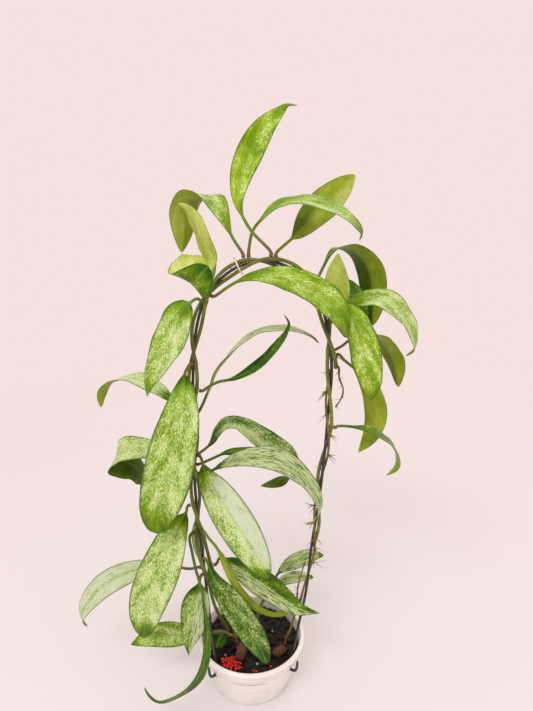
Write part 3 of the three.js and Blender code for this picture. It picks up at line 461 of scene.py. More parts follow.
def petiole_material():
    """A leaf's stalk, green at the blade and turning brown towards the vine."""
    n = Nodes("petiole", roughness=0.42, specular=0.4)
    _, y = n.blade_place()
    streak = n.noise(n.place(), scale=0.7, detail=3, roughness=0.6, distortion=0.5)
    green = n.blend(n.attribute("leaf_tone"), (142, 172, 40), (78, 108, 32))
    color = n.blend(n.attribute("leaf_stalk"), green, (116, 96, 52))
    n.color(n.over(color, (92, 84, 34), streak, 0.48, 0.7, most=0.35))
    n.bump(streak + (y * 2.4).sine() * 0.08, distance=0.25, strength=0.5)
    return n.material


def wire_material():
    """Dark coated wire with worn glints."""
    n = Nodes("wire_coating", roughness=0.3, coat=0.3)
    scuff = n.noise(n.place(), scale=0.5, detail=3, roughness=0.6)
    n.color(n.between(scuff, 0.5, 0.75, (30, 30, 32), (56, 54, 54)))
    n.roughness(n.ramp(scuff, 0.4, 0.7, 0.16, 0.38))
    n.bump(scuff, distance=0.08, strength=0.4)
    return n.material


def pot_material():
    """Thin glossy white plastic with moulding rings, and a little dust low on the wall."""
    n = Nodes("pot_plastic", roughness=0.24, coat=0.25, coat_roughness=0.12)
    place = n.place()
    z = n.split(place)[2]
    cloud = n.noise(place, scale=0.05, detail=3)
    dust = n.noise(place, scale=0.9, detail=4, roughness=0.7)
    low = n.ramp(z, 0.0, 14.0, 0.35, 0.0)
    color = n.between(cloud, 0.3, 0.7, (240, 239, 233), (232, 230, 223))
    n.color(n.blend(low * n.ramp(dust, 0.45, 0.7), color, (212, 204, 190)))
    n.roughness(n.ramp(dust, 0.4, 0.7, 0.16, 0.26))
    n.bump((z * 5).sine() * 0.06 + dust * 0.06, distance=0.06, strength=0.5)
    return n.material


def paper_material():
    n = Nodes("label_paper", roughness=0.55, specular=0.3)
    fibre = n.noise(n.place(), scale=2.2, detail=4, roughness=0.7)
    n.color(n.between(fibre, *CLOUDED, (244, 243, 240), (234, 232, 227)))
    n.bump(fibre, distance=0.05, strength=0.5)
    return n.material


def bark_material(name, dark, mid, light):
    """Damp bark or husk, each chip with a tint of its own."""
    n = Nodes(name, roughness=0.7, specular=0.35)
    place = n.place()
    tint = n.attribute("chip_tint")
    grain = n.noise(place, scale=0.8, detail=5, roughness=0.7, distortion=1.2)
    fibre = n.noise(place, scale=3.2, detail=3, roughness=0.6)
    color = n.between(grain, 0.32, 0.66, dark, mid)
    color = n.blend(n.ramp(grain, 0.55, 0.75) * tint, color, light)
    n.color(n.over(color, dark, fibre, 0.5, 0.75, most=0.35))
    n.roughness(n.ramp(grain, 0.3, 0.7, 0.5, 0.85))
    n.bump(grain + fibre * 0.4, distance=0.9, strength=0.8)
    return n.material


def granule_material():
    n = Nodes("granule_coating", roughness=0.3)
    speck = n.noise(n.place(), scale=1.4, detail=3, roughness=0.6)
    color = n.blend(n.attribute("chip_tint"), (184, 14, 16), (212, 34, 26))
    n.color(n.over(color, (124, 10, 12), speck, 0.5, 0.72, most=0.5))
    n.bump(speck, distance=0.12, strength=0.5)
    return n.material


def tie_material():
    n = Nodes("tie_plastic", roughness=0.4, specular=0.45)
    grain = n.noise(n.place(), scale=1.6, detail=3, roughness=0.6)
    n.color(n.between(grain, 0.35, 0.7, (238, 232, 214), (214, 204, 180)))
    n.bump(grain, distance=0.06, strength=0.5)
    return n.material


def perlite_material():
    n = Nodes("perlite_grain", roughness=0.8, specular=0.25)
    pits = n.cells(n.place(), 1.6, "F1")
    n.color(n.between(pits, 0.1, 0.6, (212, 206, 190), (170, 162, 144)))
    n.bump(pits, distance=0.3, strength=0.7)
    return n.material


LEAF_TOP = leaf_top_material()
LEAF_UNDER = leaf_under_material()
PETIOLE = petiole_material()
GREEN_VINE = stem_material("vine_bark", (120, 138, 38), (100, 102, 36), (78, 56, 26))
BROWN_VINE = stem_material("root_bark", (130, 108, 48), (104, 80, 38), (68, 44, 20), roughness=0.6)
WIRE = wire_material()
POT = pot_material()
PAPER = paper_material()
# The husk's near-black browns are partly its own colour and partly painted shade, for the soil lies in shade
# inside the pot.
HUSK = bark_material("husk", (10, 8, 4), (36, 29, 15), (74, 60, 30))
BARK = bark_material("bark", (54, 30, 18), (116, 78, 52), (198, 162, 136))
GRANULE = granule_material()
TIE = tie_material()
PERLITE = perlite_material()

# ------------------------------------------------------------------ wire hoop
HOOP_RUN = [
    (-31, -30, 48), (-34, -28, 72), (-37, -25, 108), (-40, -21, 144), (-44, -16, 182),
    (-46, -12, 216), (-46, -8, 258), (-45, -5, 301), (-42, -2, 338), (-35, 0, 363),
    (-23, 0, 380), (-6, 0, 392), (11, 0, 396), (29, 0, 392), (44, 0, 383), (56, 0, 365),
    (63, -1, 341), (67, -3, 309), (65, -6, 275), (63, -9, 241), (59, -12, 196),
    (53.5, -15, 154), (49.5, -17, 109), (44, -19, 78), (38, -22, 48),
]
LEFT_END_AZIMUTH = -136
RIGHT_END_AZIMUTH = -34
HOOK_HOLE_LEVEL = 29.5
WIRE_END = [
    (40.4, 39), (39.8, 33.5), (41, 30.5), (43.3, HOOK_HOLE_LEVEL), (46.6, HOOK_HOLE_LEVEL), (49, 31),
    (50.4, 35), (50.9, 42),
]
WIRE_SIDES = 14
WIRE_TIP_SHARE = 0.7
WIRE_TIP_GROWTH = 0.1
hoop = Curve(HOOP_RUN)


def make_wire():
    ends = [[at_azimuth(r, a, z) for r, z in WIRE_END] for a in (LEFT_END_AZIMUTH, RIGHT_END_AZIMUTH)]
    path = Curve([*reversed(ends[0]), *HOOP_RUN, *ends[1]])
    points = path.points(round(path.length / WIRE_STEP))

    def radius(i, _):
        from_end = min(i, len(points) - 1 - i)
        return WIRE_RADIUS * min(1, WIRE_TIP_SHARE + WIRE_TIP_GROWTH * from_end)

    mesh = mesh_from("wire_hoop_round", *rod(points, radius, WIRE_SIDES))
    object_from(mesh, [WIRE], ["wire_hoop"])


# ------------------------------------------------------------------ stems
MAIN_PHASE = math.radians(111)
ROOTED_PHASE = math.radians(28)
CLIMBERS = [
    dict(name="vine_main", start=113, end=652, phase=MAIN_PHASE, thin=False,
         root=[(-13, -7, 32), (-14, -9, 52), (-20, -13, 80), (-28, -17, 110), (-34, -18, 136)]),
    dict(name="vine_second", start=65, end=492, phase=MAIN_PHASE + math.pi, thin=False,
         root=[(-22, 4, 32), (-23, 0, 52), (-27, -10, 72), (-31, -19, 92)]),
    dict(name="vine_rooted", start=705, end=477, phase=ROOTED_PHASE, thin=True,
         root=[(30, -6, 32), (32, -9, 46), (36, -14, 64), (40, -16, 82)]),
]
SHOOT = [(4, 16, 33), (6, 19, 50), (12, 21, 68), (20, 21, 87)]
SHOOT_BUD_STEPS = 8
SHOOT_STEPS = 28
SEARCH_STEPS = 200


def beside_wire(distance, phase, offset):
    """The point beside the wire where a vine runs, at a distance along the hoop."""
    u = clamp01(distance / hoop.length)
    along = hoop.tangent(u)
    back = Vector((0, 1, 0))
    back = (back - along * back.dot(along)).normalized()
    out = along.cross(back)
    angle = phase + 2 * math.pi * distance / VINE_PITCH
    return hoop.point(u) + out * (offset * math.cos(angle)) + back * (offset * math.sin(angle))


def climber_points(climber, offset, step):
    """A vine's points from the soil to its end, with its rise to the wire the same for any step."""
    start, end, phase = climber["start"], climber["end"], climber["phase"]
    steps = round(abs(end - start) / step)
    climb = [beside_wire(mix(start, end, i / steps), phase, offset) for i in range(steps + 1)]
    coarse = round(abs(end - start) / BUD_STEP)
    turn = beside_wire(mix(start, end, 1 / coarse), phase, offset)
    rise = Curve([*climber["root"], climb[0], turn])
    joined_at = (rise.length - (turn - climb[0]).length) / rise.length
    count = round(rise.length * joined_at / step)
    return [rise.point(joined_at * i / count) for i in range(count)] + climb


def make_stems():
    """The coarse points that stalks leave each stem from, and the fine ones that its bark follows."""
    stems = {}
    for climber in CLIMBERS:
        radius = ROOT_VINE_RADIUS if climber["thin"] else VINE_RADIUS
        offset = WIRE_RADIUS + radius + VINE_CLEARANCE
        stems[climber["name"]] = dict(
            coarse=climber_points(climber, offset, BUD_STEP),
            fine=climber_points(climber, offset, STEM_STEP),
            radius=radius, offset=offset, swellings=[],
        )
    shoot = Curve(SHOOT)
    stems["shoot_back"] = dict(
        coarse=shoot.points(SHOOT_BUD_STEPS), fine=shoot.points(SHOOT_STEPS),
        radius=VINE_RADIUS, offset=0, swellings=[],
    )
    return stems


stems = make_stems()


def bud_for(item):
    """Where a stalk leaves its stem, and the way it sets out."""
    toward = Vector(item["path"][0])
    if "near" in item:
        stem = stems[item["stem"]]
        target = Vector(item["near"])
        centre = min(Curve(stem["coarse"]).points(SEARCH_STEPS), key=lambda p: (p - target).length)
    else:
        at = item["at"]
        passing = [c for c in CLIMBERS if not c["thin"] and c["start"] < at < c["end"]]
        options = [(beside_wire(at, c["phase"], stems[c["name"]]["offset"]), c["name"]) for c in passing]
        centre, name = min(options, key=lambda option: (option[0] - toward).length)
        stem = stems[name]
    points = stem["coarse"]
    nearest = min(range(len(points)), key=lambda i: (points[i] - centre).length)
    axis = (points[min(len(points) - 1, nearest + 1)] - points[max(0, nearest - 1)]).normalized()
    direction = toward - centre
    direction = (direction - axis * direction.dot(axis)).normalized()
    stem["swellings"].append(centre)
    return centre + direction * (stem["radius"] * NODE_SWELLING + GAP), direction


def curve_from(bud, path):
    start, direction = bud
    return Curve([start, start + direction * PETIOLE_LEAD, *path])


# ------------------------------------------------------------------ leaves
# Each leaf has the same midrib, sides and widths as its CAD node. tone runs from bright yellow
# green to deep green, silver says how much of each half is covered by pale flecks, under how
# much painted shade darkens each half of the underside, under_base how much more painted shade
# it has near the stalk, flecked_below whether the blade lies with its flecked side down, and brown
# how far its stalk has browned.
BRIGHT = dict(slot="leaf_bright", tone=0.1, silver=(0.5, 0.5))
DEEP = dict(slot="leaf_deep", tone=0.85, silver=(0.3, 0.3))
SILVER = dict(slot="leaf_silver", tone=0.55, silver=(0.86, 0.86))
PLAIN = dict(base=0.85, tip=0.8, cup=0.12, wave=0.05, under=(0.55, 0.55), under_base=0, flecked_below=False,
             brown=1)


def leaf(name, look, path, face, **own):
    return {**PLAIN, **look, **own, "name": "leaf_" + name, "path": path, "face": face}


LEAVES = [
    leaf("crown_upright", BRIGHT, at=384, width=20, stalk=32, base=1.4, tip=1.35, silver=(0.4, 0.44),
         path=[(2, -8, 420), (-6, -6, 437), (-5, 0, 455), (1, 6, 472), (11.5, 12, 490.5), (23.5, 17, 503),
               (30, 20, 508.5), (38, 22, 509)],
         face=[(-0.3, -0.9, 0.3), (0.1, -0.95, 0.2), (0.3, -0.85, 0.4), (0.2, -0.5, 0.85)]),
    leaf("crown_back", BRIGHT, at=388, width=25.5, stalk=22, base=0.75, tip=0.75, under=(0.25, 0.5),
         under_base=0.38,
         path=[(37, 14, 414), (54, 28, 431.5), (73, 44, 446.5), (89.5, 60, 461)],
         face=[(-0.4, 0.8, -0.1), (-0.35, 0.8, -0.2), (-0.3, 0.8, 0)]),
    leaf("crown_arch", BRIGHT, at=368, width=22.5, stalk=24, base=1, silver=(0.42, 0.42),
         path=[(4, 3, 418), (13, 2, 429), (23, 0, 437), (38, -4, 440), (53, -8, 438), (69, -10, 432),
               (79, -10, 424), (85, -8, 417), (84, -6, 411)],
         face=[(-0.6, -0.4, 0.6), (-0.1, -0.35, 0.95), (0.3, -0.4, 0.8), (0.9, -0.4, 0.3)]),
    leaf("left_arch", BRIGHT, at=364, width=28, stalk=18, base=1, under=(0.35, 0.6), under_base=0.3,
         path=[(-11, 3, 412), (-20, 8, 430), (-27, 14, 441), (-36, 22, 444.5), (-46, 30, 442),
               (-52.5, 37, 431), (-54.5, 40, 416), (-57, 42, 398)],
         face=[(0.5, -0.6, 0.5), (0.3, -0.5, 0.8), (-0.2, 0.4, 0.9), (-0.6, 0.75, 0.2),
               (-0.45, 0.85, -0.1)]),
    leaf("left_inner", BRIGHT, at=335, width=22, stalk=8, base=0.6, tip=0.8, tone=0, under=(0.2, 0.35),
         path=[(-29, 1, 397), (-32.5, 2, 405), (-36.5, 4, 415), (-40.5, 8, 424), (-47, 11, 434),
               (-54, 13, 438)],
         face=[(0.75, 0.6, 0.1), (0.7, 0.6, 0.3), (0.4, 0.7, 0.6), (0.1, 0.7, 0.7)]),
    leaf("left_cup", BRIGHT, at=329, width=34, stalk=12, base=0.6, tip=0.5, wave=0, silver=(0.4, 0.4),
         tone=0.5, under=(0, 0),
         path=[(-35, 15, 380), (-38, 24, 388), (-41.5, 20, 397), (-41.5, 11, 397), (-42, 4, 390),
               (-45, -6, 382.5), (-41, -15, 380.5), (-28.5, -18.5, 394)],
         face=[(0, 0.3, -0.9), (0, 0, -1), (0, 0.6, -0.8), (0, 1, 0), (-0.5, 0.1, -0.87), (0, -1, -0.1),
               (0, -1, 0)]),
    leaf("front_arch", BRIGHT, at=327, width=28, stalk=22, base=1, tip=0.6, silver=(0.44, 0.44),
         path=[(-16, -7, 376), (-8, -10, 381), (2, -13, 385), (17, -18, 386.5), (32, -24, 384.5),
               (46, -30, 379), (59, -36, 370), (67.5, -40, 359), (72, -42, 345)],
         face=[(-0.3, -0.5, 0.8), (0, -0.6, 0.8), (0.3, -0.65, 0.65), (0.7, -0.65, 0.3)]),
    leaf("left_hanging", BRIGHT, at=321, width=29.5, stalk=14, base=0.5, tip=1.05, silver=(0.58, 0.52),
         path=[(-39, -10, 368), (-50, -15, 359), (-57, -20, 342), (-66, -23, 325), (-75, -24, 307),
               (-79, -23, 293)],
         face=[(-0.3, -0.8, 0.5), (-0.4, -0.85, 0.3), (-0.4, -0.9, 0.1)]),
    leaf("right_back_arch", BRIGHT, at=421, width=25, stalk=16, base=1, tip=0.7, tone=0.35, under=(1, 0.62),
         path=[(60, 10, 391.5), (64, 12, 399), (69, 15, 403.5), (75.5, 20, 404.5), (82.5, 27, 402.5),
               (89, 33, 399), (95.5, 38, 393.5), (100.5, 41, 386.5), (104, 43, 378), (106, 44, 368.5),
               (107.5, 44, 354.5), (107.5, 43, 335)],
         face=[(-0.5, -0.3, 0.85), (-0.4, -0.1, 0.9), (0, 0.3, 0.95), (0.4, 0.8, 0.4), (0.3, 0.95, 0),
               (0.3, 0.95, -0.1)]),
    # This leaf's deep green is partly its own and partly painted shade, for it lies in shade behind the
    # leaves before it.
    leaf("right_dark", DEEP, at=432, width=24, stalk=14,
         path=[(70, 18, 371.5), (78, 25, 369), (88, 28, 361), (95, 30, 349), (99, 30, 340)],
         face=[(0, -0.8, 0.6), (0.3, -0.8, 0.5), (0.5, -0.8, 0.3)]),
    leaf("right_hanging", BRIGHT, at=438, width=26.5, stalk=14, base=0.55, tip=0.7, tone=0,
         silver=(0.46, 0.46),
         path=[(68, -11, 366), (75.5, -18, 360), (81, -22, 352), (86, -25, 340), (90, -27, 324),
               (94, -27, 308), (96, -25, 291)],
         face=[(0.2, -0.7, 0.7), (0.4, -0.85, 0.4), (0.2, -1, 0.1), (0, -1, 0)]),
    leaf("right_arch", BRIGHT, at=446, width=29, stalk=14, base=0.6, tip=0.95, silver=(0.52, 0.56),
         path=[(76, 0, 363), (88, -3, 366), (100, -7, 367.5), (111.5, -12, 363), (121.5, -14, 352.5),
               (127, -16, 340), (129.5, -14, 330), (124, -10, 322)],
         face=[(-0.1, -0.4, 0.9), (0.1, -0.4, 0.9), (0.6, -0.5, 0.6), (0.9, -0.4, 0.2)]),
    leaf("right_small", BRIGHT, at=455, width=20, stalk=10, base=0.6, tip=0.9, under=(0.2, 0.25),
         path=[(72, 5.8, 360), (71, 5.8, 371), (69.5, 5.5, 385), (70, 5, 401)],
         face=[(-0.12, 1, 0.1), (0.1, 1, 0)]),
    leaf("branch_outer", BRIGHT, at=478, width=24, stalk=24, tone=0.3, under=(0.85, 0.5),
         path=[(76, 10, 325), (85, 18, 329), (97, 24, 331.5), (110, 28, 328), (120, 30, 316),
               (127, 30, 301), (130, 28, 283)],
         face=[(-0.2, 0.1, 1), (0.2, 0.2, 0.95), (0.7, 0.6, 0.3), (0.7, 0.7, 0)]),
    leaf("branch_lower", BRIGHT, at=482, width=19.5, stalk=24, tip=0.85, tone=0.3, under=(0.6, 0.5),
         path=[(78, 3, 315), (87, 6, 307), (97, 8, 295), (105, 9, 278), (107, 8, 262), (103, 5, 247),
               (93, 2, 233)],
         face=[(0.3, 0.8, 0.4), (0.4, 0.9, 0.1), (0.3, 0.95, 0)]),
    leaf("right_curl", DEEP, at=541, width=17, stalk=14, tip=1.1, tone=0.6, silver=(0.45, 0.4),
         path=[(72, -9, 262), (86, -10, 262), (103, -12, 258), (112, -13, 252), (119, -12, 245),
               (123, -11, 236), (123, -9, 225), (116, -6, 215)],
         face=[(0, -0.05, 1), (0.2, -0.05, 0.95), (0.8, 0, 0.5), (0.9, 0.1, -0.4)]),
    leaf("centre_front", BRIGHT, at=270, width=38, stalk=12, base=0.68, tip=0.5, silver=(0.55, 0.52),
         tone=0.15,
         path=[(-50, -12, 309), (-50, -22, 298), (-52, -34, 278), (-57, -42, 257), (-62, -47, 234),
               (-69, -50, 210), (-72, -50, 189)],
         face=[(0, -0.8, 0.6), (0, -0.95, 0.3), (-0.1, -0.98, 0.15), (0, -1, 0.05)]),
    leaf("inner_dark", DEEP, at=246, width=12.5, stalk=24, tip=1.05, tone=1,
         path=[(-33, -4, 294.5), (-25, -5, 299), (-12, -5, 302), (0.5, -4, 308), (13.5, -2, 318),
               (23.5, 0, 329), (31, 2, 340), (32.5, 3, 346), (28, 3, 353)],
         face=[(-0.2, -0.4, 0.9), (-0.3, -0.4, 0.85), (-0.6, -0.4, 0.65), (-0.9, -0.3, 0.2)]),
    leaf("left_low_arch", SILVER, at=236, width=21, stalk=20, tone=0.1, silver=(0.62, 0.62),
         under=(0.6, 0.6),
         path=[(-58, 6, 276), (-67, 8, 280), (-76, 10, 287), (-93, 12, 295), (-105, 13, 296),
               (-116, 12, 293), (-122, 11, 287), (-125, 10, 280), (-125.5, 8, 272)],
         face=[(0, -0.4, 0.9), (0, -0.3, 1), (-0.5, 0.2, 0.8), (-0.75, 0.6, 0.2)]),
    leaf("inner_arch", SILVER, at=226, width=18, stalk=18, base=0.65, tone=0.5, silver=(0.7, 0.75),
         path=[(-33, 5, 290), (-27, 8, 304), (-16, 10, 317.5), (-6, 12, 327.5), (7, 15, 335.5),
               (21, 16, 338), (32, 16, 338.5), (43, 15, 336), (53, 13, 331.5), (58, 11, 327)],
         face=[(-0.8, 0.3, 0.5), (-0.6, 0.1, 0.8), (0, -0.1, 1), (0.4, -0.1, 0.9)]),
    leaf("left_curl", BRIGHT, at=184, width=28, stalk=18, base=0.6, tip=0.5, silver=(0.6, 0.6), tone=0.2,
         under=(0.95, 0.95),
         path=[(-62, -8, 233), (-74, -11, 239), (-84, -13, 243), (-94, -14, 244.5), (-102, -14, 243.5),
               (-107.5, -13, 240), (-110.5, -11, 235), (-106, -7, 229), (-98, -4, 223), (-93, -2, 214),
               (-95, 0, 203.5)],
         face=[(0.2, -0.4, 0.9), (0, -0.4, 0.9), (-0.6, -0.3, 0.7), (-0.9, 0.3, -0.2), (-0.6, 0.5, -0.6)]),
    leaf("centre_right", SILVER, at=190, width=31, stalk=10, base=0.65, tip=0.65, tone=0.15,
         silver=(0.9, 0.6),
         path=[(-35, -15, 219), (-25, -24, 207), (-13, -32, 191), (-1, -38, 173), (9, -42, 156),
               (16, -44, 142)],
         face=[(0.1, -0.9, 0.45), (0.1, -0.95, 0.25), (0, -1, 0.1)]),
    leaf("twisted", SILVER, at=190, width=23, stalk=12, base=0.8, tone=0.8, silver=(0.52, 0.68),
         under=(0.85, 0.85),
         path=[(-33, 9, 239), (-28, 11, 248), (-21.5, 12, 254.5), (-13.5, 14, 255), (-4, 16, 249.5),
               (6, 18, 242), (17.5, 19, 233.5), (28, 19, 226.5), (36, 18, 220), (39.5, 15, 213),
               (36, 12, 206), (24, 10, 200.5), (9, 9, 197)],
         face=[(-0.5, -0.5, 0.7), (0, -0.3, 0.95), (0.3, -0.6, 0.7), (0.9, -0.2, 0.3), (0.2, 0.6, -0.8)]),
    leaf("behind_silver", DEEP, at=181, width=12, stalk=22, tone=0.7,
         path=[(-30, 3, 228), (-20, 4, 232), (-4, 3, 232.5), (13, 2, 231.5), (30, 0, 229.5), (42, -2, 225)],
         face=[(0, -0.6, 0.8), (0.2, -0.6, 0.8)]),
    leaf("silver_arch", SILVER, at=174, width=20.5, stalk=12, base=1.1, tip=1.05, tone=0.6,
         silver=(0.84, 0.9),
         path=[(-33, -4, 219), (-22, -4, 225), (-7, -7, 232), (9, -10, 235), (27, -14, 233), (41, -18, 224),
               (52, -24, 213), (58, -27, 198), (54, -29, 187), (47, -29, 182)],
         face=[(-0.1, -0.7, 0.7), (0.2, -0.75, 0.6), (0.5, -0.75, 0.5), (0.8, -0.5, 0.3),
               (0.5, -0.2, -0.9)]),
    leaf("lower_front", BRIGHT, at=148, width=34, stalk=9, base=0.6, tip=0.6, silver=(0.6, 0.57), tone=0.15,
         path=[(-53, -20, 189), (-60, -30, 179), (-67.5, -38, 161), (-76, -44, 141), (-84, -48, 120),
               (-89, -48, 87)],
         face=[(-0.2, -0.85, 0.5), (-0.1, -0.95, 0.3), (0, -1, 0.1)]),
    leaf("long_hanging", DEEP, at=121, width=11, stalk=62, base=0.9, tone=0.9, silver=(0.34, 0.3), brown=0,
         path=[(-51, -21, 165), (-49, -25, 156), (-45, -31, 140), (-40, -37, 126), (-38, -42, 113),
               (-36, -48, 101), (-35, -54, 87), (-37, -60, 72), (-45, -64, 56), (-61, -66, 44),
               (-76, -66, 39), (-84, -64, 44), (-88, -62, 50)],
         face=[(0.7, -0.6, 0.2), (0.7, -0.7, 0.1), (0.5, -0.75, -0.3), (-0.2, -0.8, -0.5)]),
    leaf("long_yellow", BRIGHT, at=124, width=7, stalk=22, base=0.3, tip=0.45, tone=0, silver=(0.1, 0.1),
         brown=0,
         path=[(-34, -27, 169), (-28, -31, 164), (-23.5, -31, 155), (-19.5, -31, 144), (-15, -30, 132),
               (-9, -28, 118), (-1, -25, 104), (6, -20, 92), (13, -16, 84), (22, -12, 78), (31, -9, 77),
               (42, -6, 85), (48, -4, 93)],
         face=[(-0.2, 0.9, -0.3), (-0.2, 0.9, -0.3), (0, 1, -0.1), (0.3, 0.9, -0.2)]),
    leaf("far_left", SILVER, at=91, width=21, stalk=34, tone=0.3, silver=(0.93, 0.9),
         path=[(-53, -17, 131), (-65, -12, 129), (-80, -12, 130), (-96, -16, 130), (-113, -20, 126),
               (-128, -24, 118), (-141, -26, 104), (-148, -26, 88), (-145, -24, 76)],
         face=[(0, -0.7, 0.7), (-0.2, -0.8, 0.6), (-0.5, -0.8, 0.4), (-0.9, -0.4, 0.1)]),
    leaf("bundle_back", DEEP, at=133, width=10, stalk=8, tone=0.5, silver=(0.7, 0.7),
         path=[(-47, -7, 172), (-47, -7, 160), (-45, -8, 145), (-43, -9, 131)],
         face=[(0, -1, 0.1), (0.1, -1, 0.1)]),
    leaf("lower_silver", SILVER, at=86, width=24.5, stalk=9, base=0.65, tip=1.2, tone=0.55,
         silver=(0.9, 0.5),
         path=[(-43, -34, 122), (-45, -38, 112), (-47, -43, 97), (-50.5, -47, 82), (-52, -49, 69)],
         face=[(0, -0.9, 0.4), (0, -0.95, 0.3), (0, -1, 0.2)]),
    leaf("pot_front", DEEP, at=99, width=24, stalk=8, base=0.8, tip=0.65, tone=0.8, silver=(0.5, 0.46),
         path=[(-29, -32, 131), (-18, -35, 116), (-7, -38, 99), (2, -40, 84), (9, -41, 70), (15, -41, 52)],
         face=[(-0.2, -0.8, 0.6), (-0.3, -0.8, 0.5), (-0.2, -0.9, 0.3)]),
    leaf("lower_right", DEEP, stem="vine_main", near=(-34, -18, 136), width=23, stalk=14, base=0.8,
         tip=1.15, tone=0.75, silver=(0.36, 0.9),
         path=[(-26, -16, 142), (-18, -15, 137), (-8, -15, 129), (4, -18, 121.5), (19, -22, 113),
               (30, -25, 105.5), (41, -28, 99), (61, -31, 96.5)],
         face=[(0.2, -0.6, 0.8), (0.2, -0.7, 0.7), (0.2, -0.7, 0.7)]),
    leaf("low_yellow", BRIGHT, stem="vine_main", near=(-14, -8, 52), width=21, stalk=30, tip=0.95, tone=0.2,
         flecked_below=True,
         path=[(-26, -8, 56), (-46, -13, 57), (-64, -19, 63), (-85, -23, 65.5), (-107.5, -26, 58)],
         face=[(-0.2, 0.4, -0.9), (-0.2, 0.7, -0.7), (-0.1, 0.75, -0.7)]),
    # This leaf's deep green is its own, made deepest as painted shade, for it lies in shade on the soil in
    # the pot.
    leaf("in_pot", DEEP, stem="vine_second", near=(-23, 2, 50), width=15, stalk=6, tone=1,
         silver=(0.1, 0.1),
         path=[(-27, -6, 51), (-30, -14, 50), (-31, -20, 48)],
         face=[(0.1, -0.3, 1), (0.2, -0.3, 0.9)]),
    leaf("back_silver", SILVER, stem="shoot_back", near=(20, 21, 86), width=15, stalk=10, tone=0.7,
         silver=(0.8, 0.84),
         path=[(26, 26, 93), (35, 29, 99), (48, 31, 105), (59, 31, 109), (70, 30, 110)],
         face=[(-0.3, -0.7, 0.7), (-0.1, -0.7, 0.7), (0.1, -0.7, 0.7)]),
    leaf("back_narrow", SILVER, stem="shoot_back", near=(18, 21, 81), width=11, stalk=10, tone=0.6,
         silver=(0.85, 0.85),
         path=[(29, 14, 93), (44, 13, 99), (59, 12, 99)],
         face=[(-0.1, -0.6, 0.8), (0.1, -0.6, 0.8)]),
]

# The shape of a blade: how soon it is flat, how its two halves ripple, the groove above the rib
# and the hollow below, which fades towards the tip.
BLADE_ENTRY = 0.16
TIP_HALF_WIDTH = 0.55
RIPPLE_TURN = 2.4
FINE_RIPPLE_TURN = 1.7
RIPPLE_SPREAD = 2
RIPPLES = 17
FINE_RIPPLES = 41
FINE_SHARE = 0.3
FOOT_FLARE = 0.3
FOOT_REACH = 3
GROOVE_DEPTH = 0.45
GROOVE_REACH = 0.9
HOLLOW_DEPTH = 0.55
HOLLOW_REACH = 1.1
HOLLOW_FADE = 0.6
PATTERN_SPREAD = 400
ACROSS = [-1, -0.95, -0.84, -0.68, -0.5, -0.34, -0.2, -0.09, 0, 0.09, 0.2, 0.34, 0.5, 0.68, 0.84, 0.95, 1]
RING = [(a, 1) for a in ACROSS] + [(a, -1) for a in reversed(ACROSS[1:-1])]
FLECKED, PALE, STALK = range(3)


def blade_outline(along, base, tip):
    peak = base / (base + tip)
    highest = peak ** base * (1 - peak) ** tip
    return along ** base * (1 - along) ** tip / highest


def list_mix(items, k):
    place = clamp01(k) * (len(items) - 1)
    i = min(len(items) - 2, int(place))
    return Vector(items[i]).lerp(Vector(items[i + 1]), place - i)


def blade_half_thickness(across):
    return BLADE_THICKNESS / 2 * math.sqrt(max(0.0, 1 - across ** 4))


def leaf_looks(item, along, across, from_stem):
    """What the leaf's materials read at a point. Both ends of a blade are greener and barer."""
    ends = 0.75 * (1 - smooth(0.0, 0.22, along)) + 0.8 * smooth(0.8, 1.0, along)
    half = smooth(-0.25, 0.25, across)
    near_stalk = 1 - smooth(0.2, 0.75, along)
    return dict(
        leaf_tone=item["tone"] + 0.8 * ends,
        leaf_silver=mix(*item["silver"], half) * (1 - 0.85 * ends),
        # leaf_under is painted shade on the underside: how dark each half is made for lying in shade, darker
        # still near the stalk.
        leaf_under=mix(*item["under"], half) + item["under_base"] * near_stalk,
        leaf_edge=abs(across),
        leaf_stalk=clamp01(1.25 - 1.7 * from_stem) * item["brown"],
    )


def blade_faces(item, steps, stalk_share):
    """Faces over a leaf's rings, closed at the tip by a fan, and which material each one has."""
    count = len(RING)
    last = (steps - 1) * count
    tip = steps * count
    faces = skin_faces(steps, count)[:-1]
    faces += [(last + j, last + (j + 1) % count, tip) for j in range(count)]
    upper, lower = (PALE, FLECKED) if item["flecked_below"] else (FLECKED, PALE)
    upper_count = len(ACROSS) - 1
    blade = [upper] * upper_count + [lower] * (count - upper_count)
    kinds = [STALK]
    for i in range(steps - 1):
        kinds += [STALK] * count if (i + 0.5) / steps < stalk_share else blade
    return faces, kinds + blade


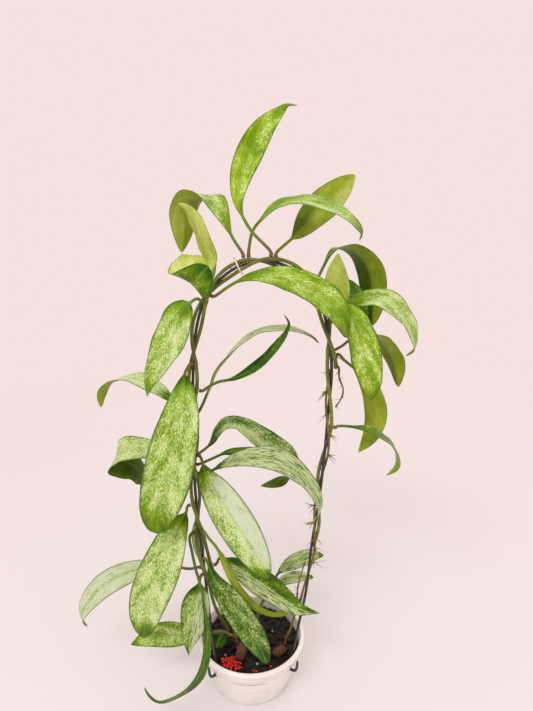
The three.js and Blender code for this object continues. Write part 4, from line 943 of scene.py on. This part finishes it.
def make_leaf(item, number):
    curve = curve_from(item["bud"], item["path"])
    length = curve.length
    steps = round(length / LEAF_STEP)
    ripple = [number * RIPPLE_TURN, number * RIPPLE_TURN + RIPPLE_SPREAD]
    fine_ripple = [number * FINE_RIPPLE_TURN, number * FINE_RIPPLE_TURN + RIPPLE_SPREAD]
    shift = random.Random(number).uniform(0, PATTERN_SPREAD)
    stalk_share = item["stalk"] / length
    vertices, looks, coords = [], [], []
    for i in range(steps):
        t = i / steps
        centre = curve.point(t)
        tangent = item["bud"][1] if i == 0 else curve.tangent(t)
        along = clamp01((t - stalk_share) / (1 - stalk_share))
        normal = list_mix(item["face"], along)
        normal = (normal - tangent * normal.dot(tangent)).normalized()
        side = tangent.cross(normal)
        flat = smooth(0, BLADE_ENTRY, along)
        wide = item["width"] / 2 * blade_outline(along, item["base"], item["tip"])
        foot = PETIOLE_RADIUS * (1 + FOOT_FLARE * math.exp(-((t * length / FOOT_REACH) ** 2)))
        half = max(wide, mix(foot, TIP_HALF_WIDTH, flat))
        for across, face in RING:
            sideways = half * mix(math.sin(across * math.pi / 2), across, flat)
            thick = face * mix(foot * math.cos(across * math.pi / 2), blade_half_thickness(across), flat)
            if face > 0:
                thick -= GROOVE_DEPTH * flat * math.exp(-((sideways / GROOVE_REACH) ** 2))
            else:
                hollow = HOLLOW_DEPTH * flat * (1 - HOLLOW_FADE * along)
                thick -= hollow * math.exp(-((sideways / HOLLOW_REACH) ** 2))
            hand = 0 if across < 0 else 1
            bend = item["cup"] + item["wave"] * math.sin(along * RIPPLES + ripple[hand])
            fine = FINE_SHARE * item["wave"] * math.sin(along * FINE_RIPPLES + fine_ripple[hand])
            rise = flat * half * (across * across * bend + fine * abs(across) ** 3)
            vertices.append(centre + side * sideways + normal * (thick + rise))
            looks.append(leaf_looks(item, along, across, t / stalk_share))
            coords.append((sideways * MM, (t * length + shift) * MM))
    vertices.append(curve.point(1))
    looks.append(dict(leaf_tone=1, leaf_silver=0, leaf_under=item["under"][0], leaf_edge=1, leaf_stalk=0))
    coords.append((0, (length + shift) * MM))
    faces, kinds = blade_faces(item, steps, stalk_share)
    mesh = mesh_from(item["name"] + "_blade", vertices, faces)
    for name in looks[0]:
        point_values(mesh, name, [clamp01(look[name]) for look in looks])
    layer = mesh.uv_layers.new(name="leaf")
    layer.data.foreach_set("uv", [c for loop in mesh.loops for c in coords[loop.vertex_index]])
    mesh.polygons.foreach_set("material_index", kinds)
    object_from(mesh, [LEAF_TOP, LEAF_UNDER, PETIOLE], [item["name"]])


# ------------------------------------------------------------------ vines, rootlets and twigs
STEM_SIDES = 12
STEM_ROUGHNESS = 0.07
STEM_ROUGH_SCALE = 0.35
FAR = 99
HAIR_STEPS = 7
HAIR_SIDES = 6
HAIR_WANDER = 0.28
HAIR_THINNING = 0.8
ROOT_CLUSTERS = [483, 497, 512, 530, 547, 566, 583, 598, 612, 626, 640, 652, 668, 684]
CROWN_CLUSTERS = [318, 333, 352, 368, 386, 404, 430, 462, 476, 481, 150, 171, 196]
NOWHERE = Vector((0, 0, 0))


def make_vine(name, material, extra=()):
    stem = stems[name]
    points = stem["fine"]

    def radius(i, angle):
        reach = min(((s - points[i]).length for s in stem["swellings"]), default=FAR)
        swell = 1 + (NODE_SWELLING - 1) * math.exp(-((reach / NODE_REACH) ** 2))
        rough = noise.noise(points[i] * STEM_ROUGH_SCALE + Vector((angle, 0, 0)))
        return stem["radius"] * swell * (1 + STEM_ROUGHNESS * rough)

    parts = [rod(points, radius, STEM_SIDES), *extra]
    object_from(mesh_from(name + "_bark", *joined(parts)), [material], [name])


def stray(draw, lowest, highest):
    """A random way to go, that rises between lowest and highest."""
    return Vector((draw.uniform(-1, 1), draw.uniform(-1, 1), draw.uniform(lowest, highest)))


def root_hair(draw, start, direction, length, radius):
    """A fine root that wanders and droops as it thins out."""
    points = [start]
    heading = direction.normalized()
    for _ in range(HAIR_STEPS):
        heading = (heading + stray(draw, -1, 0.7) * HAIR_WANDER).normalized()
        points.append(points[-1] + heading * (length / HAIR_STEPS))
    return rod(points, lambda i, _: radius * (1 - HAIR_THINNING * i / HAIR_STEPS), HAIR_SIDES)


def root_tuft(draw, count, start, away, spread, highest, lengths, radii):
    """Fine roots from one place, that spread round the way that leads away from the stem."""
    tuft = []
    for _ in range(count):
        direction = away + stray(draw, -1, highest) * spread
        tuft.append(root_hair(draw, start, direction, draw.uniform(*lengths), draw.uniform(*radii)))
    return tuft


def rootlets():
    """Aerial roots along the thin vine."""
    draw = random.Random(5)
    parts = []
    for distance in ROOT_CLUSTERS:
        start = beside_wire(distance, ROOTED_PHASE, stems["vine_rooted"]["offset"])
        away = (start - beside_wire(distance, ROOTED_PHASE, 0)).normalized()
        parts += root_tuft(draw, draw.randint(3, 6), start, away, 0.9, 0.5, (4, 12), (0.34, 0.6))
    return parts


def crown_roots():
    """Short dry roots along the climbing vines, where leaves leave them."""
    draw = random.Random(12)
    parts = []
    for distance in CROWN_CLUSTERS:
        start = beside_wire(distance, MAIN_PHASE, stems["vine_main"]["offset"])
        parts += root_tuft(draw, 2, start, NOWHERE, 1, 0.6, (4, 9), (0.3, 0.5))
    return parts


TWIGS = [
    dict(name="twig_right", stem="vine_second", near=(72, -3, 312),
         path=[(73, -6, 303), (76.5, -6, 293), (75, -6, 285), (70.5, -7, 278)]),
    dict(name="twig_low", stem="vine_rooted", near=(42, -16, 90),
         path=[(41, -19, 99), (42, -19, 113), (44, -20, 126), (48, -21, 142)]),
]
TWIG_SIDES = 8
TWIG_THINNING = 0.35
TWIG_ROUGHNESS = 0.1
KNOT_EVERY = 7
KNOT_SIZE = 0.3
KNOT_REACH = 1.5
TUFT_EVERY = 4


def make_twig(twig, bud, number):
    draw = random.Random(60 + number)
    curve = curve_from(bud, twig["path"])
    steps = round(curve.length / TWIG_STEP)
    points = curve.points(steps)

    def radius(i, angle):
        from_knot = i % KNOT_EVERY - KNOT_EVERY // 2
        knot = KNOT_SIZE * math.exp(-(from_knot ** 2) / KNOT_REACH)
        rough = TWIG_ROUGHNESS * noise.noise(points[i] + Vector((angle, 0, 0)))
        return TWIG_RADIUS * (1 - TWIG_THINNING * i / steps) * (1 + knot + rough)

    parts = [rod(points, radius, TWIG_SIDES, bud[1])]
    for i in range(TUFT_EVERY, steps, TUFT_EVERY):
        parts += root_tuft(draw, 2, points[i], NOWHERE, 1, 0.4, (3, 7), (0.22, 0.38))
    object_from(mesh_from(twig["name"] + "_dry", *joined(parts)), [BROWN_VINE], [twig["name"]])


# ------------------------------------------------------------------ pot
POT_SEGMENTS = 160
WALL_TOP = POT_HEIGHT - 4
WALL_INSET = 2.2
WALL_CURVE = 0.9
LIP_RADIUS = 1.9
UNDER_LIP = 1.0
INNER_LIP = 1.4
CORNER_RADIUS = 1.6
HOOK_CLEARANCE = GAP + 0.7
DRAIN_HOLES = 3
DRAIN_RADIUS = 3.5
DRAIN_PLACE = 22
CUTTER_SIDES = 24


def wall_radius(z):
    return mix(POT_BASE, POT_RIM - WALL_INSET, clamp01(z / WALL_TOP) ** WALL_CURVE)


def arc(centre_r, centre_z, radius, start, end, cuts):
    turns = [math.radians(mix(start, end, i / cuts)) for i in range(cuts + 1)]
    return [(centre_r + radius * math.cos(a), centre_z + radius * math.sin(a)) for a in turns]


def lathe(profile, segments):
    """Points and faces of a profile turned about Z. Its ends lie on the axis."""
    vertices = [Vector((0, 0, profile[0][1]))]
    for r, z in profile[1:-1]:
        for j in range(segments):
            vertices.append(at_azimuth(r, 360 * j / segments, z))
    vertices.append(Vector((0, 0, profile[-1][1])))
    faces = []
    rows = len(profile) - 2
    for j in range(segments):
        k = (j + 1) % segments
        faces.append((0, 1 + k, 1 + j))
        for i in range(rows - 1):
            a, b = 1 + i * segments + j, 1 + i * segments + k
            faces.append((a, b, b + segments, a + segments))
        top = 1 + (rows - 1) * segments
        faces.append((top + j, top + k, len(vertices) - 1))
    return vertices, faces


def cut_away(piece, tools):
    """Cuts the tools' meshes out of a piece, and removes them."""
    for tool in tools:
        boolean = piece.modifiers.new("cut", "BOOLEAN")
        boolean.operation = "DIFFERENCE"
        boolean.solver = "EXACT"
        boolean.object = tool
    evaluated = piece.evaluated_get(bpy.context.evaluated_depsgraph_get())
    cut = bpy.data.meshes.new_from_object(evaluated)
    piece.modifiers.clear()
    old = piece.data
    piece.data = cut
    bpy.data.meshes.remove(old)
    for tool in tools:
        bpy.data.meshes.remove(tool.data)


def cutter(points, radius):
    mesh = mesh_from("cutter", *rod(points, lambda i, a: radius, CUTTER_SIDES))
    tool = bpy.data.objects.new("cutter", mesh)
    bpy.context.scene.collection.objects.link(tool)
    return tool


def pot_profile():
    """The pot's outline from the middle of its base, up the outside, over the lip and down inside."""
    foot = arc(POT_BASE - 1.4, CORNER_RADIUS, CORNER_RADIUS, -88, -5, 5)
    outside = [(wall_radius(z), z) for z in (5, 8, 12, 16, 20, 24, 28, 32, 34.5)]
    band = [(wall_radius(35.2), 35.2), (wall_radius(35.6) + 0.35, 35.6), (wall_radius(36) + 0.6, 36.1)]
    upper = [(wall_radius(z) + 0.55, z) for z in (38, 40, 42, 43.3)]
    lip_level = POT_HEIGHT - LIP_RADIUS
    lip = arc(POT_RIM - UNDER_LIP, lip_level - UNDER_LIP, UNDER_LIP, -70, 0, 5)
    lip += arc(POT_RIM - LIP_RADIUS, lip_level, LIP_RADIUS, 0, 90, 8)
    lip += arc(POT_RIM - 2.4, POT_HEIGHT - INNER_LIP, INNER_LIP, 95, 180, 6)
    inside = [(wall_radius(z) - POT_WALL, z) for z in (42, 36, 30, 24, 18, 12, 7)]
    floor = arc(POT_BASE - POT_WALL - 1.4, POT_FLOOR + CORNER_RADIUS, CORNER_RADIUS, 0, -88, 5)
    base = [(0, 0), (POT_BASE - 4, 0)]
    return [*base, *foot, *outside, *band, *upper, *lip, *inside, *floor, (20, POT_FLOOR), (0, POT_FLOOR)]


def make_pot():
    mesh = mesh_from("pot_shell", *lathe(pot_profile(), POT_SEGMENTS))
    pot = object_from(mesh, [], ["pot"])
    tools = []
    for azimuth in (LEFT_END_AZIMUTH, RIGHT_END_AZIMUTH):
        ends = [at_azimuth(r, azimuth, HOOK_HOLE_LEVEL) for r in (39, 49)]
        tools.append(cutter(ends, WIRE_RADIUS + HOOK_CLEARANCE))
    for i in range(DRAIN_HOLES):
        below = at_azimuth(DRAIN_PLACE, 30 + 120 * i, -1)
        tools.append(cutter([below, below + Vector((0, 0, POT_FLOOR + 3))], DRAIN_RADIUS))
    cut_away(pot, tools)
    pot.data.materials.clear()
    pot.data.materials.append(POT)
    pot.data.polygons.foreach_set("use_smooth", [True] * len(pot.data.polygons))
    pot.data.set_sharp_from_angle(angle=math.radians(50))


# ------------------------------------------------------------------ soil, bark and granules
SOIL_RINGS = 26
SOIL_SPOKES = 90
SOIL_CLEARANCE = POT_WALL + 0.5
SOIL_TINT = 0.2
GOLDEN_TURN = 2.39996
LITTER_REACH = 42
CHIPS = 210
FIBRES = 70
PERLITE_PLACES = [(-23, -20), (6, -30), (20, 8), (-6, 22), (-30, 6)]
HEAP_CENTRE = Vector((-16.5, -29.5, 0))
HEAP_ALONG = 11.5
HEAP_ACROSS = 7.5
HEAP_TURN = math.radians(-32)
LOOSE_GRANULES = [(-13, -13), (-10, -10.5), (3, -38), (5.5, -38.8), (-27, -12), (18, -34)]
BARK_CHUNK = dict(name="bark_chunk", centre=(-8.5, -19, 43.8), size=(8.5, 15, 7), turn=-8)
BARK_CHIP = dict(name="bark_chip", centre=(26, -17, 42.1), size=(13, 8, 3.6), turn=35)
BARK_REACH = 7


def bmesh_faces(bm):
    return [tuple(v.index for v in f.verts) for f in bm.faces]


def rough_block(draw, size, centre, turn, cuts, roughness):
    """Points and faces of a worn chip of bark."""
    bm = bmesh.new()
    bmesh.ops.create_cube(bm, size=1)
    bmesh.ops.bevel(bm, geom=bm.edges[:], offset=0.12, segments=2, affect="EDGES")
    bmesh.ops.subdivide_edges(bm, edges=bm.edges[:], cuts=cuts, use_grid_fill=True)
    seed = Vector((draw.uniform(0, 90), draw.uniform(0, 90), draw.uniform(0, 90)))
    vertices = []
    for v in bm.verts:
        p = Vector((v.co.x * size[0], v.co.y * size[1], v.co.z * size[2]))
        lift = noise.noise(p * 0.5 + seed) * roughness + noise.noise(p * 1.6 + seed) * roughness * 0.5
        vertices.append(turn @ (p + v.normal * lift) + centre)
    faces = bmesh_faces(bm)
    bm.free()
    return vertices, faces


def turned(draw, tilt):
    """A random turn about Z, with a tilt of up to so much about X and Y."""
    spin, lean_x, lean_y = draw.uniform(0, 2 * math.pi), draw.uniform(-tilt, tilt), draw.uniform(-tilt, tilt)
    lean = Matrix.Rotation(lean_x, 3, "X") @ Matrix.Rotation(lean_y, 3, "Y")
    return Matrix.Rotation(spin, 3, "Z") @ lean


def tinted_mesh(name, parts, tints):
    mesh = mesh_from(name, *joined(parts))
    values = []
    for (vertices, _), tint in zip(parts, tints):
        values += [tint] * len(vertices)
    point_values(mesh, "chip_tint", values)
    return mesh


def on_granules(p, margin):
    q = Matrix.Rotation(-HEAP_TURN, 3, "Z") @ Vector((p.x - HEAP_CENTRE.x, p.y - HEAP_CENTRE.y, 0))
    return math.hypot(q.x / (HEAP_ALONG + margin), q.y / (HEAP_ACROSS + margin)) < 1


def near_block(p):
    centres = [block["centre"] for block in (BARK_CHUNK, BARK_CHIP)]
    return any(math.hypot(p.x - x, p.y - y) < BARK_REACH for x, y, _ in centres)


def soil_body():
    """The soil's plain sides and base, closed by an uneven top of rings that shrink to the middle."""
    low = POT_FLOOR + GAP
    profile = [(0, low), (POT_BASE - SOIL_CLEARANCE - 2, low), (wall_radius(8) - SOIL_CLEARANCE - 0.8, 8)]
    profile += [(wall_radius(z) - SOIL_CLEARANCE, z) for z in (18, 30, 38)]
    vertices, faces = lathe([*profile, (0, SOIL_LEVEL)], SOIL_SPOKES)
    bed_top = len(vertices) - 1
    faces = [f for f in faces if bed_top not in f]
    vertices.pop()
    previous = [bed_top - SOIL_SPOKES + j for j in range(SOIL_SPOKES)]
    reach = wall_radius(38) - SOIL_CLEARANCE
    for i in range(1, SOIL_RINGS):
        ring = []
        for j in range(SOIL_SPOKES):
            p = at_azimuth(reach * (1 - i / SOIL_RINGS), 360 * j / SOIL_SPOKES, 0)
            lump = noise.noise(p * 0.14) * 1.1 + noise.noise(p * 0.5) * 0.5
            ring.append(len(vertices))
            vertices.append(Vector((p.x, p.y, SOIL_LEVEL - 1.2 + lump)))
        for j in range(SOIL_SPOKES):
            k = (j + 1) % SOIL_SPOKES
            faces.append((previous[j], previous[k], ring[k], ring[j]))
        previous = ring
    vertices.append(Vector((0, 0, SOIL_LEVEL - 1)))
    for j in range(SOIL_SPOKES):
        faces.append((previous[j], previous[(j + 1) % SOIL_SPOKES], len(vertices) - 1))
    return vertices, faces


def make_soil():
    draw = random.Random(41)
    parts = [soil_body()]
    tints = [SOIL_TINT]
    for i in range(CHIPS):
        angle = math.degrees(i * GOLDEN_TURN) + draw.uniform(-14, 14)
        radius = LITTER_REACH * math.sqrt((i + 0.5) / CHIPS)
        size = (draw.uniform(4, 11), draw.uniform(2.5, 6), draw.uniform(1.2, 3))
        level = SOIL_LEVEL - draw.uniform(0.0, 1.6)
        reach_out = wall_radius(SOIL_LEVEL) - POT_WALL - max(size[0], size[1]) / 2 - 0.6
        centre = at_azimuth(min(radius, reach_out), angle, level)
        if on_granules(centre, 3) or near_block(centre):
            continue
        parts.append(rough_block(draw, size, centre, turned(draw, 0.45), 1, 0.5))
        tints.append(draw.uniform(0.0, 1.0))
    object_from(tinted_mesh("substrate_chips", parts, tints), [HUSK], ["substrate"])
    fibres = []
    for _ in range(FIBRES):
        spot = at_azimuth(LITTER_REACH * math.sqrt(draw.random()), draw.uniform(0, 360), SOIL_LEVEL + 0.3)
        if on_granules(spot, 4) or near_block(spot):
            continue
        heading = stray(draw, 0, 0.35)
        fibres.append(root_hair(draw, spot, heading, draw.uniform(4, 12), draw.uniform(0.15, 0.35)))
    object_from(mesh_from("husk_fibres", *joined(fibres)), [BROWN_VINE], ())
    grains = []
    for x, y in PERLITE_PLACES:
        size = [draw.uniform(1.0, 1.9) for _ in range(3)]
        grains.append(rough_block(draw, size, Vector((x, y, SOIL_LEVEL + 0.8)), turned(draw, 1.2), 1, 0.3))
    object_from(mesh_from("perlite_grains", *joined(grains)), [PERLITE], ())


def granule_spots(draw):
    """Where the balls lie: in rows over the heap, with some left out, and a few loose ones."""
    spacing = GRANULE_RADIUS * 2.02
    spots = []
    for row in range(-5, 6):
        for column in range(-7, 8):
            x = (column + (0.5 if row % 2 else 0)) * spacing + draw.uniform(-0.4, 0.4)
            y = row * spacing * 0.87 + draw.uniform(-0.4, 0.4)
            inside = math.hypot(x / (HEAP_ALONG - 0.6), y / (HEAP_ACROSS - 0.6))
            if inside > 1 or draw.random() < 0.06 + 0.12 * inside:
                continue
            lift = draw.uniform(0.4, 1.6) if inside < 0.6 else draw.uniform(0.0, 0.5)
            p = Matrix.Rotation(HEAP_TURN, 3, "Z") @ Vector((x, y, 0)) + HEAP_CENTRE
            if math.hypot(p.x - BARK_CHUNK["centre"][0], (p.y - BARK_CHUNK["centre"][1]) * 0.6) < 5.2:
                continue
            spots.append(Vector((p.x, p.y, SOIL_LEVEL + GRANULE_RADIUS * 0.8 + lift)))
    return spots + [Vector((x, y, SOIL_LEVEL + GRANULE_RADIUS + 0.6)) for x, y in LOOSE_GRANULES]


def make_granules():
    draw = random.Random(97)
    parts = []
    tints = []
    for spot in granule_spots(draw):
        bm = bmesh.new()
        bmesh.ops.create_icosphere(bm, subdivisions=3, radius=GRANULE_RADIUS * draw.uniform(0.88, 1.06))
        seed = spot * 3.1
        vertices = [v.co * (1 + 0.05 * noise.noise(v.co * 1.3 + seed)) + spot for v in bm.verts]
        parts.append((vertices, bmesh_faces(bm)))
        bm.free()
        tints.append(draw.random())
    object_from(tinted_mesh("granule_balls", parts, tints), [GRANULE], ["granules"])


def make_bark():
    for block in (BARK_CHUNK, BARK_CHIP):
        name = block["name"]
        turn = Matrix.Rotation(math.radians(block["turn"]), 3, "Z")
        part = rough_block(random.Random(len(name)), block["size"], Vector(block["centre"]), turn, 4, 0.4)
        object_from(tinted_mesh(name + "_worn", [part], [0.8]), [BARK], [name])


# ------------------------------------------------------------------ label and tie
LABEL_COLUMNS = 40
LABEL_ROWS = 12
LABEL_CORNER = 1.2
LABEL_THICKNESS = 0.22
LABEL_GAP = GAP + 0.1
LABEL_LIFT = 0.18
LABEL_FLAT = 0.93


def make_label():
    """A bare label that follows the wall's round, with rounded corners and lifted edges."""
    vertices = []
    arc_degrees = math.degrees(LABEL_WIDTH / wall_radius(LABEL_LEVEL))
    for layer in (LABEL_GAP, LABEL_GAP + LABEL_THICKNESS):
        for i in range(LABEL_COLUMNS + 1):
            u = 2 * i / LABEL_COLUMNS - 1
            from_side = LABEL_WIDTH / 2 * (1 - abs(u))
            past = max(0.0, LABEL_CORNER - from_side)
            inset = LABEL_CORNER - math.sqrt(max(0.0, LABEL_CORNER ** 2 - past ** 2))
            lift = LABEL_LIFT * max(0.0, abs(u) - LABEL_FLAT) / (1 - LABEL_FLAT)
            for j in range(LABEL_ROWS + 1):
                z = LABEL_LEVEL + (2 * j / LABEL_ROWS - 1) * (LABEL_HEIGHT / 2 - inset)
                azimuth = LABEL_AZIMUTH + u * arc_degrees / 2
                vertices.append(at_azimuth(wall_radius(z) + layer + lift, azimuth, z))
    faces = []
    column = LABEL_ROWS + 1
    side = (LABEL_COLUMNS + 1) * column
    for i in range(LABEL_COLUMNS):
        for j in range(LABEL_ROWS):
            a = i * column + j
            b = a + column
            faces.append((a, a + 1, b + 1, b))
            faces.append((side + a, side + b, side + b + 1, side + a + 1))
    for i in range(LABEL_COLUMNS):
        low = i * column
        high = low + LABEL_ROWS
        faces.append((low, low + column, side + low + column, side + low))
        faces.append((high + column, high, side + high, side + high + column))
    for j in range(LABEL_ROWS):
        end = LABEL_COLUMNS * column + j
        faces.append((j + 1, j, side + j, side + j + 1))
        faces.append((end, end + 1, side + end + 1, side + end))
    mesh = mesh_from("label_paper", vertices, faces)
    mesh.set_sharp_from_angle(angle=math.radians(40))
    object_from(mesh, [PAPER], ["label"])


TIE_SHARE = 0.474
TIE_REACH = 6.7
TIE_SQUEEZE = 1.1
TIE_SLANT = 0.5
TIE_RADIUS = 0.62
TIE_CUTS = 44
TAIL_RADIUS = 0.4
TAIL_CUTS = 8
TAIL_TWIST = 0.9


def make_tie():
    """A plastic tie round wire and vines, with its two ends twisted together."""
    centre = hoop.point(TIE_SHARE)
    along = hoop.tangent(TIE_SHARE)
    across = Vector((0, 1, 0))
    across = (across - along * across.dot(along)).normalized()
    out = along.cross(across)
    loop = []
    for i in range(TIE_CUTS + 1):
        a = 2 * math.pi * i / TIE_CUTS
        reach = TIE_REACH - TIE_SQUEEZE * abs(math.sin(a))
        place = centre + out * (reach * math.cos(a)) + across * (reach * math.sin(a))
        loop.append(place + along * (TIE_SLANT * i / TIE_CUTS))
    parts = [rod(loop, lambda i, _: TIE_RADIUS, 10)]
    for hand in (0, math.pi):
        tail = []
        for i in range(TAIL_CUTS):
            turn = hand + i * TAIL_TWIST
            wobble = out.cross(along) * math.cos(turn) + along * math.sin(turn)
            tail.append(loop[0] + (out * 0.4 - across * 0.4) * i * 0.4 + wobble * TAIL_RADIUS)
        parts.append(rod(tail, lambda i, _: TAIL_RADIUS, 8))
    object_from(mesh_from("tie_twisted", *joined(parts)), [TIE], ["tie"])


# ------------------------------------------------------------------ floor, light and camera, in metres
BACKDROP = (245, 226, 223)
FLOOR_COLOR = (226, 225, 225)
FLOOR_REACH = 12.0
FADE_START = 0.3
FADE_END = 1.1
AIM = (0, 0, 0.25)


def make_stage():
    """A pale floor that fades into the pale surroundings, so that no horizon shows."""
    n = Nodes("studio_floor", roughness=0.9, specular=0.1)
    n.color(FLOOR_COLOR)
    place = n.value("TexCoord", out="Object")
    distance = n.value("VectorMath", {0: place}, "Value", operation="LENGTH")
    floor_light = Value(n, n.shader.outputs[0])
    glow = n.value("Emission", {"Color": BACKDROP})
    fade = n.value("MixShader", {0: n.ramp(distance, FADE_START, FADE_END), 1: floor_light, 2: glow})
    n.put(n.output.inputs["Surface"], fade)
    r = FLOOR_REACH
    mesh = bpy.data.meshes.new("studio_floor")
    mesh.from_pydata([(-r, -r, 0), (r, -r, 0), (r, r, 0), (-r, r, 0)], [], [(0, 1, 2, 3)])
    mesh.materials.append(n.material)
    floor = bpy.data.objects.new("studio_floor", mesh)
    bpy.context.scene.collection.objects.link(floor)

    world = bpy.data.worlds.new("studio")
    world.use_nodes = True
    background = world.node_tree.nodes["Background"]
    background.inputs["Color"].default_value = (*linear(*BACKDROP), 1)
    background.inputs["Strength"].default_value = 1.0
    bpy.context.scene.world = world


def area_light(name, place, width, height, power):
    light = bpy.data.lights.new(name, "AREA")
    light.shape = "RECTANGLE"
    light.energy = power
    light.size = width
    light.size_y = height
    lamp = bpy.data.objects.new(name, light)
    lamp.location = Vector(place)
    lamp.rotation_euler = (Vector(AIM) - Vector(place)).to_track_quat("-Z", "Y").to_euler()
    bpy.context.scene.collection.objects.link(lamp)


def make_lights():
    area_light("key", (-0.5, -1.2, 1.75), width=1.1, height=0.35, power=14)
    area_light("fill", (1.2, -1.1, 0.8), width=1.0, height=1.0, power=2)
    area_light("rim", (0.5, 1.3, 1.2), width=0.8, height=0.8, power=4)


def make_camera():
    camera = bpy.data.cameras.new("photo_view")
    camera.sensor_width = SENSOR
    camera.sensor_fit = "AUTO"
    camera.lens = FOCAL_PIXELS * SENSOR / PHOTO_HEIGHT
    camera.clip_start = 0.01
    lens = bpy.data.objects.new("photo_view", camera)
    lens.location = Vector(CAMERA_PLACE) * MM
    lens.rotation_euler = (math.radians(90 - CAMERA_DOWN), 0, 0)
    bpy.context.scene.collection.objects.link(lens)
    bpy.context.scene.camera = lens


# ------------------------------------------------------------------ everything together
bpy.context.scene.view_settings.view_transform = "Standard"

for item in LEAVES:
    item["bud"] = bud_for(item)
twig_buds = [bud_for(twig) for twig in TWIGS]

for number, item in enumerate(LEAVES):
    make_leaf(item, number)
make_vine("vine_main", GREEN_VINE, crown_roots())
make_vine("vine_second", GREEN_VINE)
make_vine("vine_rooted", BROWN_VINE, rootlets())
make_vine("shoot_back", GREEN_VINE)
for number, (twig, bud) in enumerate(zip(TWIGS, twig_buds)):
    make_twig(twig, bud, number)
make_wire()
make_pot()
make_soil()
make_bark()
make_granules()
make_label()
make_tie()
make_stage()
make_lights()
make_camera()
